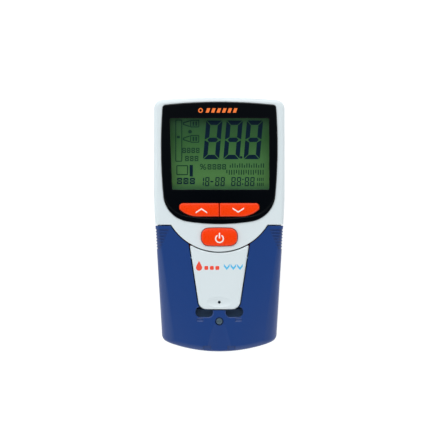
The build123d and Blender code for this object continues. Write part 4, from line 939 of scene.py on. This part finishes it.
class METER_OT_inside(bpy.types.Operator):
    """Finishes everything inside the housing and below it"""

    bl_idname = "meter.inside"
    bl_label = "Inside parts"

    def execute(self, context):
        spring = nickel_spring_steel()
        silicone = moulded_silicone()
        screws = ("case_screws", "board_screws", "sensor_screws", "cover_screw")
        self.make_coils(spring)
        for key in ("up", "down", "power"):
            self.make_dome(key, silicone)
        finishes = (
            (slate_blue_abs(), ("cartridge_tray",)),
            (matt_dark_abs(), ("optical_block", "cartridge_switch", "display_frame", "buzzer")),
            (zinc_plated_steel(), ("hinge_pins",) + screws),
            (spring, ("battery_contacts",)),
            (silicone, ("key_mat",)),
            (carbon_rubber(), ("up_pill", "down_pill", "power_pill", "connector_strips")),
            (solder_masked_laminate(), ("main_board", "sensor_board")),
            (moulded_epoxy(), ("controller_chip", "memory_chip", "light_sensors")),
            (fired_ceramic(), ("capacitors",)),
            (drawn_nickel_can(), ("crystal",)),
            (clear_cast_epoxy(), ("light_emitters",)),
            (natural_nylon(), ("board_sockets",)),
            (frosted_light_guide(), ("backlight",)),
            (printed_cell_jacket(), ("battery_cells",)),
            (polyester_ribbon(), ("ribbon_cable",)),
            (pressed_foot_rubber(), ("rubber_feet",)),
            (polished_acrylic("polished_optics_acrylic", 0.03), ("optics_window",)),
        )
        for material, nodes in finishes:
            paint(nodes, material)
        return {"FINISHED"}

    def make_dome(self, key, material):
        """A hollow silicone dome on a curved skirt, such as gives way under a pressed key; it is made at rest
        and stays with the case.
        """
        node = key + "_dome"
        low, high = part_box(node)
        middle = (low + high) / 2
        height, foot = high.z - low.z, (high.x - low.x) / 2
        neck, skin, edge, swell, steps = 3.0 * MM, 0.55 * MM, 0.15 * MM, 0.12 * MM, 8
        outer = [(0.0, height), (neck - edge, height), (neck, height - edge)]
        inner = [(0.0, height - skin), (neck - skin, height - skin)]
        for step in range(steps + 1):
            share = step / steps
            reach = neck + (foot - neck) * share + swell * math.sin(math.pi * share)
            outer.append((reach, (height - skin) * (1 - share)))
            inner.append((reach - skin, (height - 2 * skin) * (1 - share)))
        shape = bmesh.new()
        profile = outer + inner[::-1]
        line = [shape.verts.new((middle.x + reach, middle.y, low.z + level)) for reach, level in profile]
        edges = [shape.edges.new(pair) for pair in zip(line, line[1:])]
        bmesh.ops.spin(
            shape,
            geom=line + edges,
            cent=(middle.x, middle.y, low.z),
            axis=(0, 0, 1),
            angle=2 * math.pi,
            steps=40,
            use_merge=True,
        )
        bmesh.ops.remove_doubles(shape, verts=shape.verts, dist=0.01 * MM)
        for face in shape.faces:
            face.smooth = True
        piece = make_piece(node + "_skirt", shape, material)
        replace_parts(piece, node)
        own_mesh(piece)

    def make_coils(self, material):
        """Conical coils between the contact plates and the cells, at alternate ends."""
        low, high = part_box("battery_springs")
        foot, tip, wire, run = 3.4 * MM, 2.2 * MM, 0.6 * MM, 4.0 * MM
        coils, turns, steps, sides = 4, 4.5, 24, 8
        pitch = (high.x - low.x - 2 * foot) / (coils - 1)
        middle_z = (low.z + high.z) / 2
        count = int(turns * steps)
        shape = bmesh.new()
        for index in range(coils):
            way = 1 if index % 2 == 0 else -1
            start_y = low.y if way > 0 else high.y
            rings = []
            for step in range(count + 1):
                share = step / count
                angle = 2 * math.pi * turns * share
                radius = foot - wire / 2 + (tip - foot) * share
                out = Vector((math.cos(angle), 0, math.sin(angle)))
                centre = Vector((low.x + foot + index * pitch, start_y, middle_z)) + out * radius
                centre.y += way * (wire / 2 + (run - wire) * share)
                ring_points = []
                for side in range(sides):
                    turn = 2 * math.pi * side / sides
                    offset = (out * math.cos(turn) + Vector((0, math.sin(turn), 0))) * (wire / 2)
                    ring_points.append(shape.verts.new(centre + offset))
                rings.append(ring_points)
            for near, far in zip(rings, rings[1:]):
                for side in range(sides):
                    other = (side + 1) % sides
                    shape.faces.new((near[side], near[other], far[other], far[side]))
            shape.faces.new(rings[0])
            shape.faces.new(rings[-1])
        for face in shape.faces:
            face.smooth = len(face.verts) == 4
        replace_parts(make_piece("battery_spring_coils", shape, material), "battery_springs")


class METER_OT_studio(bpy.types.Operator):
    """Makes the floor, the soft light and the camera"""

    bl_idname = "meter.studio"
    bl_label = "Studio"

    def execute(self, context):
        look = context.scene.meter_studio
        scene = context.scene
        scene.view_settings.view_transform = "Standard"
        self.make_floor()
        self.make_world(scene, look)
        self.make_lamps()
        self.make_camera(scene, look)
        return {"FINISHED"}

    def make_floor(self):
        """A pale floor that looks white and keeps a faint shadow."""
        mesh = bpy.data.meshes.new("floor")
        reach = 2.5
        corners = [(-reach, -reach, 0), (reach, -reach, 0), (reach, reach, 0), (-reach, reach, 0)]
        mesh.from_pydata(corners, [], [(0, 1, 2, 3)])
        floor = put_in_scene("floor", mesh)
        material, tree = new_material("pale_paper_floor")
        rays = add(tree, "ShaderNodeLightPath")
        looked_at = add(
            tree,
            "ShaderNodeMath",
            {"operation": "MAXIMUM"},
            {0: rays.outputs["Is Camera Ray"], 1: rays.outputs["Is Glossy Ray"]},
        )
        seen = add(
            tree,
            "ShaderNodeMath",
            {"operation": "MAXIMUM"},
            {0: looked_at, 1: rays.outputs["Is Transmission Ray"]},
        )
        # It lights the object as grey paper does, and is nearly white where it is seen
        paper = add(tree, "ShaderNodeBsdfDiffuse", {"Color": (0.45, 0.45, 0.45, 1)})
        faint = add(tree, "ShaderNodeBsdfDiffuse", {"Color": (0.35, 0.35, 0.35, 1)})
        glow = add(tree, "ShaderNodeEmission", {"Color": (1, 1, 1, 1), "Strength": 0.78})
        both = add(tree, "ShaderNodeAddShader", links={0: faint, 1: glow})
        surface = add(tree, "ShaderNodeMixShader", links={0: seen, 1: paper, 2: both})
        add(tree, "ShaderNodeOutputMaterial", links={"Surface": surface})
        mesh.materials.append(material)

    def make_world(self, scene, look):
        """Soft light from all round, dark straight above, where the camera stands."""
        world = bpy.data.worlds.new("studio")
        scene.world = world
        world.use_nodes = True
        tree = world.node_tree
        tree.nodes.clear()
        place = add(tree, "ShaderNodeTexCoord")
        axes = add(tree, "ShaderNodeSeparateXYZ", links={"Vector": place.outputs["Generated"]})
        # The light falls off between these two heights, given as the sine of the angle above the horizon
        level = add(
            tree,
            "ShaderNodeMapRange",
            {
                "interpolation_type": "SMOOTHSTEP",
                "From Min": 0.55,
                "From Max": 0.88,
                "To Min": look.sky,
                "To Max": look.overhead,
            },
            {"Value": axes.outputs["Z"]},
        )
        # Gloss shows a soft light that fades from the horizon to nothing straight above
        away = add(tree, "ShaderNodeMath", {"operation": "SUBTRACT", 0: 1.0}, {1: axes.outputs["Z"]})
        fade = add(tree, "ShaderNodeMath", {"operation": "POWER", 1: 0.5}, {0: away})
        mirrored = add(tree, "ShaderNodeMath", {"operation": "MULTIPLY", 1: look.mirrored}, {0: fade})
        # The background is white to the camera and through glass
        rays = add(tree, "ShaderNodeLightPath")
        seen = add(
            tree,
            "ShaderNodeMath",
            {"operation": "MAXIMUM"},
            {0: rays.outputs["Is Camera Ray"], 1: rays.outputs["Is Transmission Ray"]},
        )
        lit = add(
            tree,
            "ShaderNodeMix",
            {"data_type": "FLOAT"},
            {"Factor": rays.outputs["Is Glossy Ray"], "A": level, "B": mirrored},
        )
        strength = add(tree, "ShaderNodeMix", {"data_type": "FLOAT", "B": 1.0}, {"Factor": seen, "A": lit})
        # The light is a little cool, and the background stays white
        tint = add(
            tree,
            "ShaderNodeMix",
            {"data_type": "RGBA", "A": (0.94, 0.985, 1.0, 1.0), "B": (1.0, 1.0, 1.0, 1.0)},
            {"Factor": seen},
        )
        glow = add(tree, "ShaderNodeBackground", links={"Color": tint, "Strength": strength})
        add(tree, "ShaderNodeOutputWorld", links={"Surface": glow})

    def make_lamps(self):
        """Three soft boxes that draw the light lines along the edges."""
        target = Vector((0, 0, 0.02))
        for name, place, size, power, colour in (
            ("soft_box_foot", (0.1, -0.8, 0.6), 1.2, 2.2, (1.0, 1.0, 1.0)),
            ("soft_box_left", (-0.8, 0.05, 0.5), 0.8, 1.1, (0.85, 0.96, 1.0)),
            ("soft_box_top", (-0.1, 0.8, 0.6), 1.2, 6.7, (1.0, 1.0, 1.0)),
        ):
            lamp = bpy.data.lights.new(name, "AREA")
            lamp.shape = "SQUARE"
            lamp.size = size
            lamp.energy = power
            lamp.color = colour
            holder = put_in_scene(name, lamp)
            holder.location = place
            holder.rotation_euler = (target - Vector(place)).to_track_quat("-Z", "Y").to_euler()

    def make_camera(self, scene, look):
        """A camera straight above the face."""
        data = bpy.data.cameras.new("camera")
        camera = put_in_scene("camera", data)
        camera.location = look.camera_place
        camera.rotation_euler = (0, 0, 0)
        distance = look.camera_place[2] - look.face_height
        data.lens = data.sensor_width * distance / look.face_view
        data.clip_start = 0.01
        data.clip_end = 10.0
        scene.camera = camera


class METER_PT_panel(bpy.types.Panel):
    """Lists the steps that finish the meter"""

    bl_idname = "METER_PT_panel"
    bl_label = "Blood meter"
    bl_space_type = "VIEW_3D"
    bl_region_type = "UI"
    bl_category = "Meter"

    def draw(self, context):
        scene = context.scene
        for group in (scene.meter_colours, scene.meter_display, scene.meter_studio):
            box = self.layout.box()
            for key in group.bl_rna.properties.keys():
                if key not in ("rna_type", "name"):
                    box.prop(group, key)
        for operator in OPERATORS:
            self.layout.operator(operator.bl_idname)


GROUPS = (MeterColours, DisplayLayout, StudioLook)
OPERATORS = (
    METER_OT_shells,
    METER_OT_panel,
    METER_OT_segments,
    METER_OT_keys,
    METER_OT_marks,
    METER_OT_inside,
    METER_OT_studio,
)


def register():
    """Adds the classes to Blender, and the three groups of values to its scenes."""
    for item in GROUPS + OPERATORS + (METER_PT_panel,):
        bpy.utils.register_class(item)
    bpy.types.Scene.meter_colours = PointerProperty(type=MeterColours)
    bpy.types.Scene.meter_display = PointerProperty(type=DisplayLayout)
    bpy.types.Scene.meter_studio = PointerProperty(type=StudioLook)


def unregister():
    """Takes away what register adds."""
    del bpy.types.Scene.meter_studio
    del bpy.types.Scene.meter_display
    del bpy.types.Scene.meter_colours
    for item in reversed(GROUPS + OPERATORS + (METER_PT_panel,)):
        bpy.utils.unregister_class(item)


def main():
    """Finishes the meter step by step."""
    register()
    bpy.ops.meter.shells()
    bpy.ops.meter.panel()
    bpy.ops.meter.segments()
    bpy.ops.meter.keys()
    bpy.ops.meter.marks()
    bpy.ops.meter.inside()
    bpy.ops.meter.studio()


if __name__ == "__main__":
    main()
